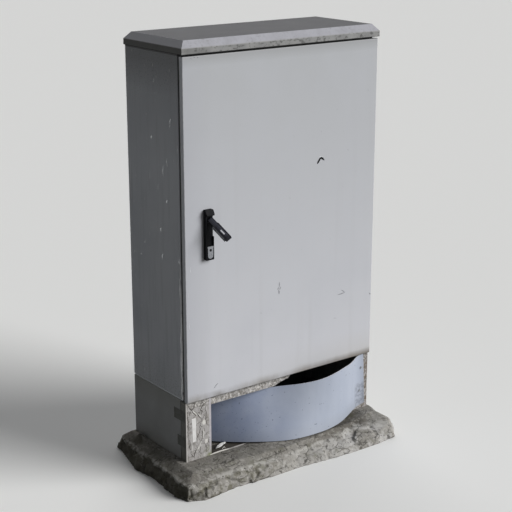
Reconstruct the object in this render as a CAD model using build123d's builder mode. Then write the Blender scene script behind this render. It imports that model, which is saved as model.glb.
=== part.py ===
from build123d import *
import math
import os

os.makedirs("parts", exist_ok=True)

# A street cabinet of folded sheet steel on its plinth and its concrete pad.
# X runs across the door, Y from the door's face to the back, Z up.
# The origin is on the pad's underside, below the middle of the door's face.

# Driving dimensions, mm
width = 750
depth = 310
pad_height = 65
plinth_height = 203
door_height = 1068
door_depth = 18
door_gap = 7
door_drop = 2
roof_gap = 5.5
roof_skirt = 18
roof_rise = 21
roof_inset = 18
roof_overhang = 3.5
sheet = 2
bend = 3
seam = 3
play = 0.3
running = 0.06

# The cabinet's levels and walls, worked out from them
half = width / 2
inner = half - sheet
body_z = pad_height + plinth_height
wall_z = body_z + 4
door_z = body_z - door_drop
door_top = door_z + door_height
skirt_z = door_top + roof_gap
body_top = skirt_z + 10.5
roof_top = skirt_z + roof_skirt + roof_rise
side_y = door_depth + door_gap
frame_y = side_y + sheet
back_y = depth - sheet


def level(z):
    """A horizontal plane; its sketches grow upwards."""
    return Plane.XY.offset(z)


def front(y):
    """An upright plane across the cabinet; its sketches grow towards the door's face."""
    return Plane.XZ.offset(-y)


def across(x):
    """An upright plane from front to back; its sketches grow to the right."""
    return Plane.YZ.offset(x)


def folded(plane, points, thickness=sheet, side=Side.LEFT):
    """Section of a folded sheet: one face follows the points, and the bends are rounded."""
    with BuildSketch(plane) as section:
        with BuildLine():
            FilletPolyline(*points, radius=bend)
            offset(amount=thickness, side=side)
        make_face()
    return section.sketch


# ---------------------------------------------------------------- concrete pad
pad_ridge = 45
pad_foot = [
    (-453, -112), (-273, -120), (-36, -127), (193, -147), (376, -137), (423, -88),
    (418, 130), (408, 348), (0, 362), (-416, 360), (-464, 175), (-466, -55),
]
pad_edge = [
    (-448, -106), (-272, -95), (-66, -103), (165, -86), (372, -86), (404, -62),
    (398, 130), (390, 335), (0, 345), (-402, 345), (-428, 165), (-445, -10),
]
pad_crown = [
    (-390, -30), (-250, -52), (-60, -82), (150, -76), (330, -25), (386, -5),
    (386, 130), (382, 320), (0, 325), (-388, 320), (-390, 165), (-392, 0),
]
pit_width = 440
pit_depth = 160
pit_y = 185
anchor_x = 345
anchor_y = (48, 285)
anchor_r = 6
anchor_length = 50
anchor_places = [(x, y) for x in (-anchor_x, anchor_x) for y in anchor_y]

with BuildPart() as concrete_base:
    with BuildSketch(level(0)):
        Polygon(*pad_foot, align=None)
    with BuildSketch(level(pad_ridge)):
        Polygon(*pad_edge, align=None)
    loft(ruled=True)
    with BuildSketch(level(pad_ridge)):
        Polygon(*pad_edge, align=None)
    with BuildSketch(level(pad_height)):
        Polygon(*pad_crown, align=None)
    loft(ruled=True)
    with BuildSketch(level(0)):
        with Locations((0, pit_y)):
            RectangleRounded(pit_width, pit_depth, 15)
    extrude(amount=pad_height, mode=Mode.SUBTRACT)
    with Locations(level(pad_height)):
        with Locations(*anchor_places):
            Hole(anchor_r, anchor_length)
concrete_base.part.label = "concrete_base"
export_step(concrete_base.part, "parts/concrete_base.step")

# --------------------------------------------------------------------- plinth
plinth_y = 10
post_width = 95
post_return = 28
post_lip = 14
window = half - post_width
rail_z = pad_height + 173
rail_top = door_z - seam
rail_lip = 12
rail_end = -26
sill = 3
sill_deep = 50
flange = 44
bolt_gap = 0.5
seam_gap = 2.5
side_seam_y = plinth_y + post_return + seam_gap
wall_start = plinth_y + sheet + sill_deep

# The rail is torn off along a ragged slanting line, and the tear runs on over the right post's top.
torn_rail = [
    (rail_end, rail_z), (-20, rail_z + 4), (-12, rail_z + 6), (-3, rail_z + 9), (7, rail_z + 11),
    (19, rail_z + 14), (27, rail_z + 14), (33, rail_z + 19), (36, rail_top + 1), (324, rail_top + 1),
    (319, rail_z + 13), (311, rail_z + 6), (300, rail_z - 8), (window - 1, rail_z - 16),
]

with BuildPart() as plinth_front_frame:
    with BuildSketch(front(plinth_y + sheet)):
        with Locations((0, (pad_height + rail_top) / 2)):
            Rectangle(width, rail_top - pad_height)
        with Locations((0, (pad_height + sill + rail_z) / 2)):
            Rectangle(2 * window, rail_z - pad_height - sill, mode=Mode.SUBTRACT)
    extrude(amount=sheet)
    for turn in (-1, 1):
        post = [
            (turn * half, plinth_y + post_return),
            (turn * half, plinth_y),
            (turn * window, plinth_y),
            (turn * window, plinth_y + post_lip),
        ]
        extrude(
            folded(level(pad_height), post, side=Side.LEFT if turn < 0 else Side.RIGHT),
            amount=rail_top - pad_height,
        )
    with BuildSketch(front(plinth_y + post_lip)):
        Polygon(*torn_rail, align=None)
    extrude(amount=post_lip, mode=Mode.SUBTRACT)
    with BuildSketch(level(pad_height)):
        with Locations((0, (plinth_y + sheet + wall_start) / 2)):
            Rectangle(2 * inner, sill_deep)
        with Locations(*anchor_places):
            Circle(anchor_r + bolt_gap, mode=Mode.SUBTRACT)
    extrude(amount=sheet)
    with BuildSketch(level(rail_top - sheet)):
        with Locations(((rail_end - inner) / 2, plinth_y + sheet + rail_lip / 2)):
            Rectangle(inner + rail_end, rail_lip)
    extrude(amount=sheet)
plinth_front_frame.part.label = "plinth_front_frame"
export_step(plinth_front_frame.part, "parts/plinth_front_frame.step")

body_bolt_r = 4
body_bolt_places = [(x, y) for x in (-362, 362) for y in (75, 270)]


def plinth_wall(hand):
    """Side wall of the plinth: a channel whose flanges turn inwards at the pad and below the body."""
    channel = [
        (hand * (half - flange), pad_height),
        (hand * half, pad_height),
        (hand * half, body_z),
        (hand * (half - 25), body_z),
    ]
    with BuildPart() as wall:
        extrude(
            folded(front(back_y), channel, side=Side.LEFT if hand > 0 else Side.RIGHT),
            amount=back_y - side_seam_y,
        )
        with BuildSketch(level(pad_height)):
            with Locations((hand * (inner - flange / 2 - 1), (side_seam_y + wall_start) / 2)):
                Rectangle(flange + 2, wall_start - side_seam_y)
        extrude(amount=sheet, mode=Mode.SUBTRACT)
        with Locations(level(pad_height + sheet)):
            with Locations((hand * anchor_x, anchor_y[1])):
                Hole(anchor_r + bolt_gap, sheet)
        with Locations(level(body_z)):
            with Locations(*[(x, y) for x, y in body_bolt_places if x * hand > 0]):
                Hole(body_bolt_r + bolt_gap, sheet)
    return wall.part


# The left wall has a low arched notch over the pad, where water drains out.
notch_y = 281
notch_half = 26
notch_height = 9

with BuildPart() as plinth_side_left:
    add(plinth_wall(-1))
    with BuildSketch(across(-half)):
        with Locations((notch_y, pad_height)):
            Ellipse(notch_half, notch_height)
    extrude(amount=bend + 1, mode=Mode.SUBTRACT)
plinth_side_left.part.label = "plinth_side_left"
export_step(plinth_side_left.part, "parts/plinth_side_left.step")

with BuildPart() as plinth_side_right:
    add(plinth_wall(1))
plinth_side_right.part.label = "plinth_side_right"
export_step(plinth_side_right.part, "parts/plinth_side_right.step")

with BuildPart() as plinth_back:
    with BuildSketch(front(depth)):
        with Locations((0, (pad_height + body_z) / 2)):
            Rectangle(width, plinth_height)
    extrude(amount=sheet)
plinth_back.part.label = "plinth_back"
export_step(plinth_back.part, "parts/plinth_back.step")

# Clip plates lie over the upright seam between each front post and its side wall.
clip_thickness = 1
clip_y = 14
clip_extents = ((47, 81, 58), (133, 168, 76))

with BuildPart() as plinth_clips:
    for hand in (-1, 1):
        for low, high, rear in clip_extents:
            with BuildSketch(across(hand * (half + clip_thickness / 2))):
                with Locations(((clip_y + rear) / 2, pad_height + (low + high) / 2)):
                    Rectangle(rear - clip_y, high - low)
            extrude(amount=clip_thickness / 2, both=True)
plinth_clips.part.label = "plinth_clips"
export_step(plinth_clips.part, "parts/plinth_clips.step")

# The cover sheet has sprung out of the window. Its right end is still fast to the post, it bows
# out over the pad, and its left end has slipped in behind the left post, leaning back.
sheet_foot = [
    (-262, 112, pad_height + 9), (-185, 39, pad_height + 8), (-110, -20, pad_height + 9),
    (-21, -61, pad_height + 6), (77, -72, pad_height + 5), (134, -66, pad_height + 3),
    (207, -48, pad_height + 4), (294, -7, pad_height + 9), (338, 9.4, pad_height + 13),
    (363, 9.8, pad_height + 17),
]
sheet_head = [
    (-262, 140, pad_height + 166), (-185, 82, pad_height + 167), (-110, 40, pad_height + 166),
    (-27, 11, pad_height + 170), (42, -25, pad_height + 174), (140, -54, pad_height + 184),
    (227, -41, pad_height + 193), (294, -7, pad_height + 190), (332, 9.2, pad_height + 196),
    (354, 9.8, pad_height + 198),
]
cover_thickness = 2

with BuildPart() as plinth_cover_sheet:
    with BuildLine() as foot_line:
        Spline(*sheet_foot)
    with BuildLine() as head_line:
        Spline(*sheet_head)
    thicken(Face.make_surface_from_curves(foot_line.edge(), head_line.edge()), amount=cover_thickness)
    with BuildSketch(front(plinth_y + post_lip)):
        with Locations((half - post_width / 2, (pad_height + body_z) / 2)):
            Rectangle(post_width, plinth_height)
    extrude(amount=post_lip, mode=Mode.SUBTRACT)
plinth_cover_sheet.part.label = "plinth_cover_sheet"
export_step(plinth_cover_sheet.part, "parts/plinth_cover_sheet.step")

with BuildPart() as plinth_anchor_bolts:
    for place in anchor_places:
        with BuildSketch(level(pad_height - anchor_length)):
            with Locations(place):
                Circle(anchor_r)
        extrude(amount=anchor_length + 12)
        with BuildSketch(level(pad_height + sheet)):
            with Locations(place):
                RegularPolygon(9.5, 6, major_radius=False)
        extrude(amount=10)
plinth_anchor_bolts.part.label = "plinth_anchor_bolts"
export_step(plinth_anchor_bolts.part, "parts/plinth_anchor_bolts.step")

# ----------------------------------------------------------------------- body
side_return = 8
opening = 333
opening_low = body_z + 40
opening_high = opening_low + 986
opening_mid = (opening_low + opening_high) / 2
opening_height = opening_high - opening_low
body_mid = (body_z + body_top) / 2
frame_height = body_top - body_z - 2 * sheet
frame_rim = 22
lip_y = 10


def side_panel(hand):
    """Side wall, with a narrow return folded in behind the door's edge."""
    wall = [(hand * half, depth), (hand * half, side_y), (hand * (half - side_return), side_y)]
    with BuildPart() as panel:
        extrude(
            folded(level(wall_z), wall, side=Side.LEFT if hand < 0 else Side.RIGHT),
            amount=body_top - wall_z,
        )
    return panel.part


with BuildPart() as side_panel_left:
    add(side_panel(-1))
side_panel_left.part.label = "side_panel_left"
export_step(side_panel_left.part, "parts/side_panel_left.step")

with BuildPart() as side_panel_right:
    add(side_panel(1))
side_panel_right.part.label = "side_panel_right"
export_step(side_panel_right.part, "parts/side_panel_right.step")

with BuildPart() as back_panel:
    with BuildSketch(front(depth)):
        with Locations((0, (wall_z + body_top) / 2)):
            Rectangle(2 * inner, body_top - wall_z)
    extrude(amount=sheet)
back_panel.part.label = "back_panel"
export_step(back_panel.part, "parts/back_panel.step")

# The frame's lip stands forward all round the opening, as a rain gutter and a seat for the gasket.
with BuildPart() as front_frame:
    with BuildSketch(front(frame_y + sheet)):
        with Locations((0, body_mid)):
            Rectangle(2 * inner, frame_height)
        with Locations((0, opening_mid)):
            Rectangle(2 * opening, opening_height, mode=Mode.SUBTRACT)
    extrude(amount=sheet)
    with BuildSketch(front(frame_y + sheet)):
        with Locations((0, opening_mid)):
            Rectangle(2 * (opening + sheet), opening_height + 2 * sheet)
            Rectangle(2 * opening, opening_height, mode=Mode.SUBTRACT)
    extrude(amount=frame_y + sheet - lip_y)
    with BuildSketch(front(frame_y + frame_rim)):
        with Locations((0, body_mid)):
            Rectangle(2 * inner, frame_height)
            Rectangle(2 * (inner - sheet), frame_height - 2 * sheet, mode=Mode.SUBTRACT)
    extrude(amount=frame_rim)
    upright = front_frame.edges().filter_by(Axis.Z)
    corners = upright.filter_by_position(Axis.Y, frame_y - play, frame_y + play).sort_by(Axis.X)
    fillet([corners[0], corners[-1]], radius=bend - sheet)
front_frame.part.label = "front_frame"
export_step(front_frame.part, "parts/front_frame.step")

grommet_r = 32
grommet_wall = 4
grommet_nub = 14
grommet_places = [(x, 170) for x in (-180, -60, 60, 180)]

with BuildPart() as floor_plate:
    with BuildSketch(level(body_z)):
        with Locations((0, (frame_y + back_y) / 2)):
            Rectangle(2 * inner, back_y - frame_y)
        with Locations(*grommet_places):
            Circle(grommet_r, mode=Mode.SUBTRACT)
        with Locations(*body_bolt_places):
            Circle(body_bolt_r + bolt_gap, mode=Mode.SUBTRACT)
    extrude(amount=sheet)
floor_plate.part.label = "floor_plate"
export_step(floor_plate.part, "parts/floor_plate.step")

# Each cable grommet is a closed rubber membrane, to be pierced by its cable.
with BuildPart() as cable_grommets:
    for place in grommet_places:
        with BuildSketch(Plane(origin=(*place, body_z), x_dir=(1, 0, 0), z_dir=(0, -1, 0))):
            with BuildLine():
                Polyline(
                    (0, 0), (grommet_r, 0), (grommet_r, sheet), (grommet_r + grommet_wall, sheet),
                    (grommet_r, sheet + grommet_wall), (grommet_nub, 18), (0, 18), close=True,
                )
            make_face()
        revolve(axis=Axis((*place, 0), (0, 0, 1)))
cable_grommets.part.label = "cable_grommets"
export_step(cable_grommets.part, "parts/cable_grommets.step")

roof_bolt_r = 5
roof_bolt_places = [(x, y) for x in (-300, 300) for y in (80, 235)]

with BuildPart() as top_plate:
    with BuildSketch(level(body_top - sheet)):
        with Locations((0, (frame_y + back_y) / 2)):
            Rectangle(2 * inner, back_y - frame_y)
        with Locations(*roof_bolt_places):
            Circle(roof_bolt_r, mode=Mode.SUBTRACT)
    extrude(amount=sheet)
top_plate.part.label = "top_plate"
export_step(top_plate.part, "parts/top_plate.step")

with BuildPart() as body_bolts:
    for place in body_bolt_places:
        with BuildSketch(level(body_z - sheet - 12)):
            with Locations(place):
                Circle(body_bolt_r)
        extrude(amount=2 * sheet + 12)
        with BuildSketch(level(body_z + sheet)):
            with Locations(place):
                RegularPolygon(6.5, 6, major_radius=False)
        extrude(amount=5.3)
body_bolts.part.label = "body_bolts"
export_step(body_bolts.part, "parts/body_bolts.step")

# ----------------------------------------------------------------------- roof
roof_half = half + roof_overhang
roof_front = -roof_overhang
roof_back = depth + roof_overhang
roof_mid = (roof_front + roof_back) / 2
roof_deep = roof_back - roof_front

with BuildPart() as roof_cap:
    for wall in (0, sheet):
        kind = Mode.SUBTRACT if wall else Mode.ADD
        with BuildSketch(level(skirt_z)):
            with Locations((0, roof_mid)):
                Rectangle(2 * (roof_half - wall), roof_deep - 2 * wall)
        extrude(amount=roof_skirt - wall / 2, mode=kind)
        with BuildSketch(level(skirt_z + roof_skirt - wall / 2)):
            with Locations((0, roof_mid)):
                Rectangle(2 * (roof_half - wall), roof_deep - 2 * wall)
        with BuildSketch(level(roof_top - wall)):
            with Locations((0, roof_mid)):
                Rectangle(2 * (roof_half - roof_inset - wall / 2), roof_deep - 2 * roof_inset - wall)
        loft(mode=kind)
roof_cap.part.label = "roof_cap"
export_step(roof_cap.part, "parts/roof_cap.step")

with BuildPart() as roof_bolts:
    for place in roof_bolt_places:
        with BuildSketch(level(body_top)):
            with Locations(place):
                RegularPolygon(10, 6, major_radius=False)
        extrude(amount=roof_top - sheet - body_top)
        with BuildSketch(level(body_top - 16)):
            with Locations(place):
                Circle(roof_bolt_r)
        extrude(amount=16)
        with BuildSketch(level(body_top - sheet - 8)):
            with Locations(place):
                RegularPolygon(8.5, 6, major_radius=False)
        extrude(amount=8)
roof_bolts.part.label = "roof_bolts"
export_step(roof_bolts.part, "parts/roof_bolts.step")

# ----------------------------------------------------------------------- door
boss_r = 11
lock_boss_r = 8
lock_z = pad_height + 685
foot_boss_z = pad_height + 664
spindle_x = -292.4
spindle_z = pad_height + 778.5
hinge_axis = (364, 9)
hinge_heights = (body_z + 100, body_z + 541, body_z + 982)

with BuildPart() as door_skin:
    with BuildSketch(front(door_depth)):
        with Locations((0, (door_z + door_top) / 2)):
            Rectangle(width, door_height)
    extrude(amount=door_depth)
    fillet(door_skin.faces().sort_by(Axis.Y)[0].edges(), radius=2.5)
    with BuildSketch(front(door_depth)):
        with Locations((0, (door_z + door_top) / 2)):
            Rectangle(2 * inner, door_height - 2 * sheet)
    extrude(amount=door_depth - sheet, mode=Mode.SUBTRACT)
    with BuildSketch(front(sheet)):
        with Locations((spindle_x, spindle_z)):
            Circle(boss_r + play)
        with Locations((spindle_x, foot_boss_z)):
            Circle(lock_boss_r + play)
    extrude(amount=sheet, mode=Mode.SUBTRACT)
door_skin.part.label = "door_skin"
export_step(door_skin.part, "parts/door_skin.step")

gasket_width = 12

with BuildPart() as door_gasket:
    with BuildSketch(front(lip_y - play)):
        with Locations((0, opening_mid)):
            RectangleRounded(
                2 * opening + sheet + gasket_width, opening_height + sheet + gasket_width, 8
            )
            RectangleRounded(
                2 * opening + sheet - gasket_width, opening_height + sheet - gasket_width, 4,
                mode=Mode.SUBTRACT,
            )
    extrude(amount=lip_y - play - sheet)
door_gasket.part.label = "door_gasket"
export_step(door_gasket.part, "parts/door_gasket.step")

stiffener_heights = (body_z + 130, body_z + 300, body_z + 860)
stiffener_ends = (-240, 300)
stiffener_y = 18

with BuildPart() as door_stiffeners:
    for height in stiffener_heights:
        hat = [
            (sheet, height - 32), (sheet, height - 18), (stiffener_y, height - 12),
            (stiffener_y, height + 12), (sheet, height + 18), (sheet, height + 32),
        ]
        extrude(
            folded(across(stiffener_ends[0]), hat, thickness=1.5, side=Side.RIGHT),
            amount=stiffener_ends[1] - stiffener_ends[0],
        )
door_stiffeners.part.label = "door_stiffeners"
export_step(door_stiffeners.part, "parts/door_stiffeners.step")

pocket_low = body_z + 430
pocket_high = pocket_low + 230
pocket_side = 130
pocket_dip = 40
pocket_y = 26
pocket_wall = 2

with BuildPart() as document_pocket:
    with BuildSketch(front(pocket_y)):
        with BuildLine():
            Polyline(
                (-pocket_side, pocket_high), (-pocket_side, pocket_low), (pocket_side, pocket_low),
                (pocket_side, pocket_high), (pocket_side / 2, pocket_high - pocket_dip),
                (-pocket_side / 2, pocket_high - pocket_dip), close=True,
            )
        make_face()
    extrude(amount=pocket_y - sheet)
    with BuildSketch(front(pocket_y - pocket_wall)):
        with Locations((0, (pocket_low + pocket_high) / 2 + pocket_wall)):
            Rectangle(2 * (pocket_side - pocket_wall), pocket_high - pocket_low)
    extrude(amount=pocket_y - sheet - 2 * pocket_wall, mode=Mode.SUBTRACT)
document_pocket.part.label = "document_pocket"
export_step(document_pocket.part, "parts/document_pocket.step")

# --------------------------------------------------------------------- hinges
pin_r = 3
pin_head_r = 5
knuckle_r = 6
leaf = 2.5
leaf_height = 30
leaf_bend = 343.75

with BuildPart() as hinge_frame_leaves:
    for height in hinge_heights:
        with BuildSketch(level(height - leaf_height)):
            with BuildLine():
                FilletPolyline(
                    (353, frame_y - leaf / 2), (leaf_bend, frame_y - leaf / 2),
                    (leaf_bend, hinge_axis[1]), (hinge_axis[0] - pin_head_r, hinge_axis[1]), radius=3,
                )
                offset(amount=leaf / 2)
            make_face()
            with Locations(hinge_axis):
                Circle(knuckle_r)
                Circle(pin_r, mode=Mode.SUBTRACT)
        extrude(amount=leaf_height - play / 2)
hinge_frame_leaves.part.label = "hinge_frame_leaves"
export_step(hinge_frame_leaves.part, "parts/hinge_frame_leaves.step")

with BuildPart() as hinge_door_leaves:
    for height in hinge_heights:
        with BuildSketch(level(height + play / 2)):
            with BuildLine():
                FilletPolyline(
                    (hinge_axis[0] + pin_r, hinge_axis[1]), (inner - leaf / 2, hinge_axis[1]),
                    (inner - leaf / 2, door_depth - 2), radius=1.5,
                )
                offset(amount=leaf / 2)
            make_face()
            with Locations(hinge_axis):
                Circle(knuckle_r)
                Circle(pin_r + running, mode=Mode.SUBTRACT)
        extrude(amount=leaf_height - play / 2)
hinge_door_leaves.part.label = "hinge_door_leaves"
export_step(hinge_door_leaves.part, "parts/hinge_door_leaves.step")

with BuildPart() as hinge_pins:
    for height in hinge_heights:
        with BuildSketch(level(height - leaf_height)):
            with Locations(hinge_axis):
                Circle(pin_r)
        extrude(amount=2 * leaf_height - 2)
        with BuildSketch(level(height - leaf_height - 3)):
            with Locations(hinge_axis):
                Circle(pin_head_r)
        extrude(amount=3)
hinge_pins.part.label = "hinge_pins"
export_step(hinge_pins.part, "parts/hinge_pins.step")

# -------------------------------------------------------------- swing handle
# The lever stands a little turned towards the hinges and lifted off its plate.
lever_turn = 28
lever_lift = 42
handle_left = 15.5
handle_right = 13.5
handle_low = pad_height + 654
handle_high = pad_height + 810
handle_plate = 8
rim = 14
rim_inner = 12.2
head_low = spindle_z + 13.5
head_front = 20
housing_top = spindle_z - 86.5
right_rim_top = spindle_z - 52.5
groove_heights = [pad_height + z for z in (711, 718, 725, 732)]
spindle_r = 6
pivot_y = -14.3
plug_r = 4.2
tongue_reach = 9.5

across_lever = Vector(math.cos(math.radians(lever_turn)), 0, math.sin(math.radians(lever_turn)))
lever_down = Vector(math.sin(math.radians(lever_turn)), 0, -math.cos(math.radians(lever_turn)))
along_lever = lever_down * math.cos(math.radians(lever_lift)) + Vector(
    0, -math.sin(math.radians(lever_lift)), 0
)
pivot = Vector(spindle_x, pivot_y, spindle_z)
lever_side = Plane(origin=pivot, x_dir=along_lever, z_dir=across_lever)
lever_face = Plane(origin=pivot, x_dir=along_lever, z_dir=along_lever.cross(across_lever))
lever_run = Axis(origin=pivot, direction=along_lever)
lever_out = Axis(origin=pivot, direction=lever_face.z_dir)

with BuildPart() as handle_base:
    with BuildSketch(across(spindle_x - handle_left)):
        with BuildLine():
            Polyline(
                (0, handle_low), (-rim, handle_low), (-rim, head_low), (-head_front, head_low),
                (1 - head_front, head_low + 5), (-11, handle_high), (0, handle_high), close=True,
            )
        make_face()
    extrude(amount=handle_left + handle_right)
    fillet(handle_base.edges().filter_by(Axis.Y), radius=2.5)
    fillet(handle_base.edges().filter_by(Axis.X).group_by(Axis.Y)[0:2], radius=1.5)
    with BuildSketch(front(-handle_plate)):
        with Locations((spindle_x, (housing_top + head_low) / 2)):
            Rectangle(2 * rim_inner, head_low - housing_top)
        with Locations((spindle_x + handle_right, (right_rim_top + head_low) / 2)):
            Rectangle(2 * handle_right, head_low - right_rim_top)
    extrude(amount=30, mode=Mode.SUBTRACT)
    with BuildSketch(front(1 - handle_plate)):
        with Locations(*[(spindle_x - 2, height) for height in groove_heights]):
            Rectangle(15, 2.5)
    extrude(amount=1, mode=Mode.SUBTRACT)
    with BuildSketch(front(boss_r + 3)):
        with Locations((spindle_x, spindle_z)):
            Circle(boss_r)
    extrude(amount=boss_r + 3)
    with BuildSketch(front(12)):
        with Locations((spindle_x, foot_boss_z)):
            Circle(lock_boss_r)
    extrude(amount=12)
    with BuildSketch(front(boss_r + 3)):
        with Locations((spindle_x, spindle_z)):
            Circle(spindle_r + running)
    extrude(amount=60, mode=Mode.SUBTRACT)
    with BuildSketch(front(-3)):
        with Locations((spindle_x, lock_z)):
            Circle(plug_r + running)
    extrude(amount=20, mode=Mode.SUBTRACT)
    with BuildSketch(front(-10)):
        with Locations((spindle_x, lock_z)):
            Circle(tongue_reach + 0.5)
    extrude(amount=20, mode=Mode.SUBTRACT)
handle_base.part.label = "handle_base"
export_step(handle_base.part, "parts/handle_base.step")

face_low = pad_height + 659
face_half = 9.5
face_lip = 5

# The lock's face plate is round at its foot, and its head is a lip that stands over the trough.
with BuildPart() as lock_face:
    with BuildSketch(front(-rim)):
        with Locations((spindle_x, face_low + face_half)):
            Circle(face_half)
            Rectangle(2 * face_half, housing_top - face_low - face_half, align=(Align.CENTER, Align.MIN))
        with Locations((spindle_x, lock_z)):
            Circle(plug_r + running, mode=Mode.SUBTRACT)
    extrude(amount=1)
    with BuildSketch(front(-rim)):
        with Locations((spindle_x, housing_top + face_lip / 2)):
            Rectangle(2 * face_half + face_lip / 2, face_lip)
    extrude(amount=1)
    with BuildSketch(front(-rim - 1)):
        with Locations((spindle_x, pad_height + 669)):
            Circle(4.5)
            Circle(2.8, mode=Mode.SUBTRACT)
    extrude(amount=0.6)
lock_face.part.label = "lock_face"
export_step(lock_face.part, "parts/lock_face.step")

with BuildPart() as lock_plug:
    with BuildSketch(front(-3)):
        with Locations((spindle_x, lock_z)):
            Circle(plug_r)
    extrude(amount=rim + 1.2 - 3)
    with BuildSketch(front(-10.3)):
        with Locations((spindle_x + tongue_reach / 2, lock_z)):
            Rectangle(tongue_reach, 5)
    extrude(amount=3.4)
    with BuildSketch(front(-handle_plate)):
        with Locations((spindle_x, lock_z)):
            RegularPolygon(2.8, 3)
    extrude(amount=20, mode=Mode.SUBTRACT)
lock_plug.part.label = "lock_plug"
export_step(lock_plug.part, "parts/lock_plug.step")

nut_depth = 6

with BuildPart() as handle_nuts:
    with BuildSketch(front(sheet + nut_depth)):
        with Locations((spindle_x, spindle_z)):
            RegularPolygon(15, 6, major_radius=False)
            Circle(boss_r, mode=Mode.SUBTRACT)
        with Locations((spindle_x, foot_boss_z)):
            RegularPolygon(11, 6, major_radius=False)
            Circle(lock_boss_r, mode=Mode.SUBTRACT)
    extrude(amount=nut_depth)
handle_nuts.part.label = "handle_nuts"
export_step(handle_nuts.part, "parts/handle_nuts.step")

crank_y = 32
crank_plate_thickness = 3
crank_r = 24
crank_angle = 135 + lever_turn
end_r = 5
crank_pin_r = 2.5
lever_pin_r = 2
tang_width = 8
tang_r = 4

with BuildPart() as handle_spindle:
    with BuildSketch(front(crank_y)):
        with Locations((spindle_x, spindle_z)):
            Circle(spindle_r)
    extrude(amount=crank_y + handle_plate + play)
    with BuildSketch(Plane(origin=pivot, x_dir=(0, 1, 0), z_dir=across_lever)):
        Circle(tang_r)
        Rectangle(
            -pivot_y - handle_plate - play, 2 * tang_r, align=(Align.MIN, Align.CENTER)
        )
    extrude(amount=tang_width / 2, both=True)
    with BuildSketch(front(crank_y + 9)):
        with Locations((spindle_x, spindle_z)):
            Circle(end_r)
    extrude(amount=9)
    with Locations(Plane(origin=pivot, z_dir=across_lever)):
        Hole(lever_pin_r + running)
handle_spindle.part.label = "handle_spindle"
export_step(handle_spindle.part, "parts/handle_spindle.step")

ear = 9.5
neck = 20
lever_half = 11.75
lever_length = 83
lever_thick = 12
nose = 6
spine = 1.2
slot_length = 16

# The lever has a narrow neck at its pivot, a nose that closes over the lock's lip, and a raised
# spine along its outer face.
with BuildPart() as handle_lever:
    with BuildSketch(lever_side):
        with BuildLine():
            Polyline(
                (0, lever_thick / 2), (lever_length - nose, lever_thick / 2), (lever_length - nose, -2),
                (lever_length, -2), (lever_length, -4), (lever_length - 3, -lever_thick / 2),
                (0, -lever_thick / 2), close=True,
            )
        make_face()
        Circle(lever_thick / 2)
    extrude(amount=lever_half, both=True)
    with BuildSketch(lever_face):
        with BuildLine():
            Polyline(
                (-7, -ear), (neck, -ear), (neck + 3, -lever_half), (lever_length - 7, -lever_half),
                (lever_length + 1, -ear), (lever_length + 1, ear), (lever_length - 7, lever_half),
                (neck + 3, lever_half), (neck, ear), (-7, ear), close=True,
            )
        make_face()
    extrude(amount=lever_thick, both=True, mode=Mode.INTERSECT)
    chamfer(handle_lever.faces().sort_by(lever_out)[-1].edges().filter_by(lever_run), length=1.5)
    with BuildSketch(lever_face.offset(lever_thick / 2)):
        with Locations(((neck + lever_length) / 2, 0)):
            Rectangle(lever_length - neck - 14, lever_half)
    extrude(amount=spine, taper=45)
    with BuildSketch(lever_face.offset(tang_r + play)):
        with Locations((1, 0)):
            Rectangle(slot_length, tang_width + 2 * play)
    extrude(amount=-2 * lever_thick, mode=Mode.SUBTRACT)
    with Locations(Plane(origin=pivot, z_dir=across_lever)):
        Hole(lever_pin_r)
handle_lever.part.label = "handle_lever"
export_step(handle_lever.part, "parts/handle_lever.step")

with BuildPart() as lever_pin:
    with BuildSketch(Plane(origin=pivot, z_dir=across_lever)):
        Circle(lever_pin_r)
    extrude(amount=ear, both=True)
lever_pin.part.label = "lever_pin"
export_step(lever_pin.part, "parts/lever_pin.step")

# ------------------------------------------------------------ two-rod latch
rod_gap = 0.4
rod_y = crank_y + crank_plate_thickness + rod_gap
rod_thickness = 4
rod_width = 12
pin_end = rod_y + rod_thickness + rod_gap
tip_gap = 1.5
tip_taper = 10
tip_high = opening_high - tip_gap
tip_low = opening_low + tip_gap
crank_pins_at = [
    (
        spindle_x + crank_r * math.cos(math.radians(crank_angle + turn)),
        spindle_z + crank_r * math.sin(math.radians(crank_angle + turn)),
    )
    for turn in (0, 180)
]

with BuildPart() as crank_plate:
    with BuildSketch(front(crank_y + crank_plate_thickness)):
        with Locations((spindle_x, spindle_z)):
            SlotCenterToCenter(2 * crank_r, 13, rotation=crank_angle)
            Circle(10)
            Circle(end_r, mode=Mode.SUBTRACT)
        with Locations(*crank_pins_at):
            Circle(crank_pin_r, mode=Mode.SUBTRACT)
    extrude(amount=crank_plate_thickness)
crank_plate.part.label = "crank_plate"
export_step(crank_plate.part, "parts/crank_plate.step")

crank_nut_depth = 5
pin_head = 1.2

with BuildPart() as crank_nut:
    with BuildSketch(front(crank_y + crank_plate_thickness + crank_nut_depth)):
        with Locations((spindle_x, spindle_z)):
            RegularPolygon(8, 6, major_radius=False)
            Circle(end_r, mode=Mode.SUBTRACT)
    extrude(amount=crank_nut_depth)
crank_nut.part.label = "crank_nut"
export_step(crank_nut.part, "parts/crank_nut.step")

with BuildPart() as crank_pins:
    for place in crank_pins_at:
        with BuildSketch(front(pin_end)):
            with Locations(place):
                Circle(crank_pin_r)
        extrude(amount=pin_end - crank_y)
        with BuildSketch(front(pin_end + pin_head)):
            with Locations(place):
                Circle(4)
        extrude(amount=pin_head)
crank_pins.part.label = "crank_pins"
export_step(crank_pins.part, "parts/crank_pins.step")


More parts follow.
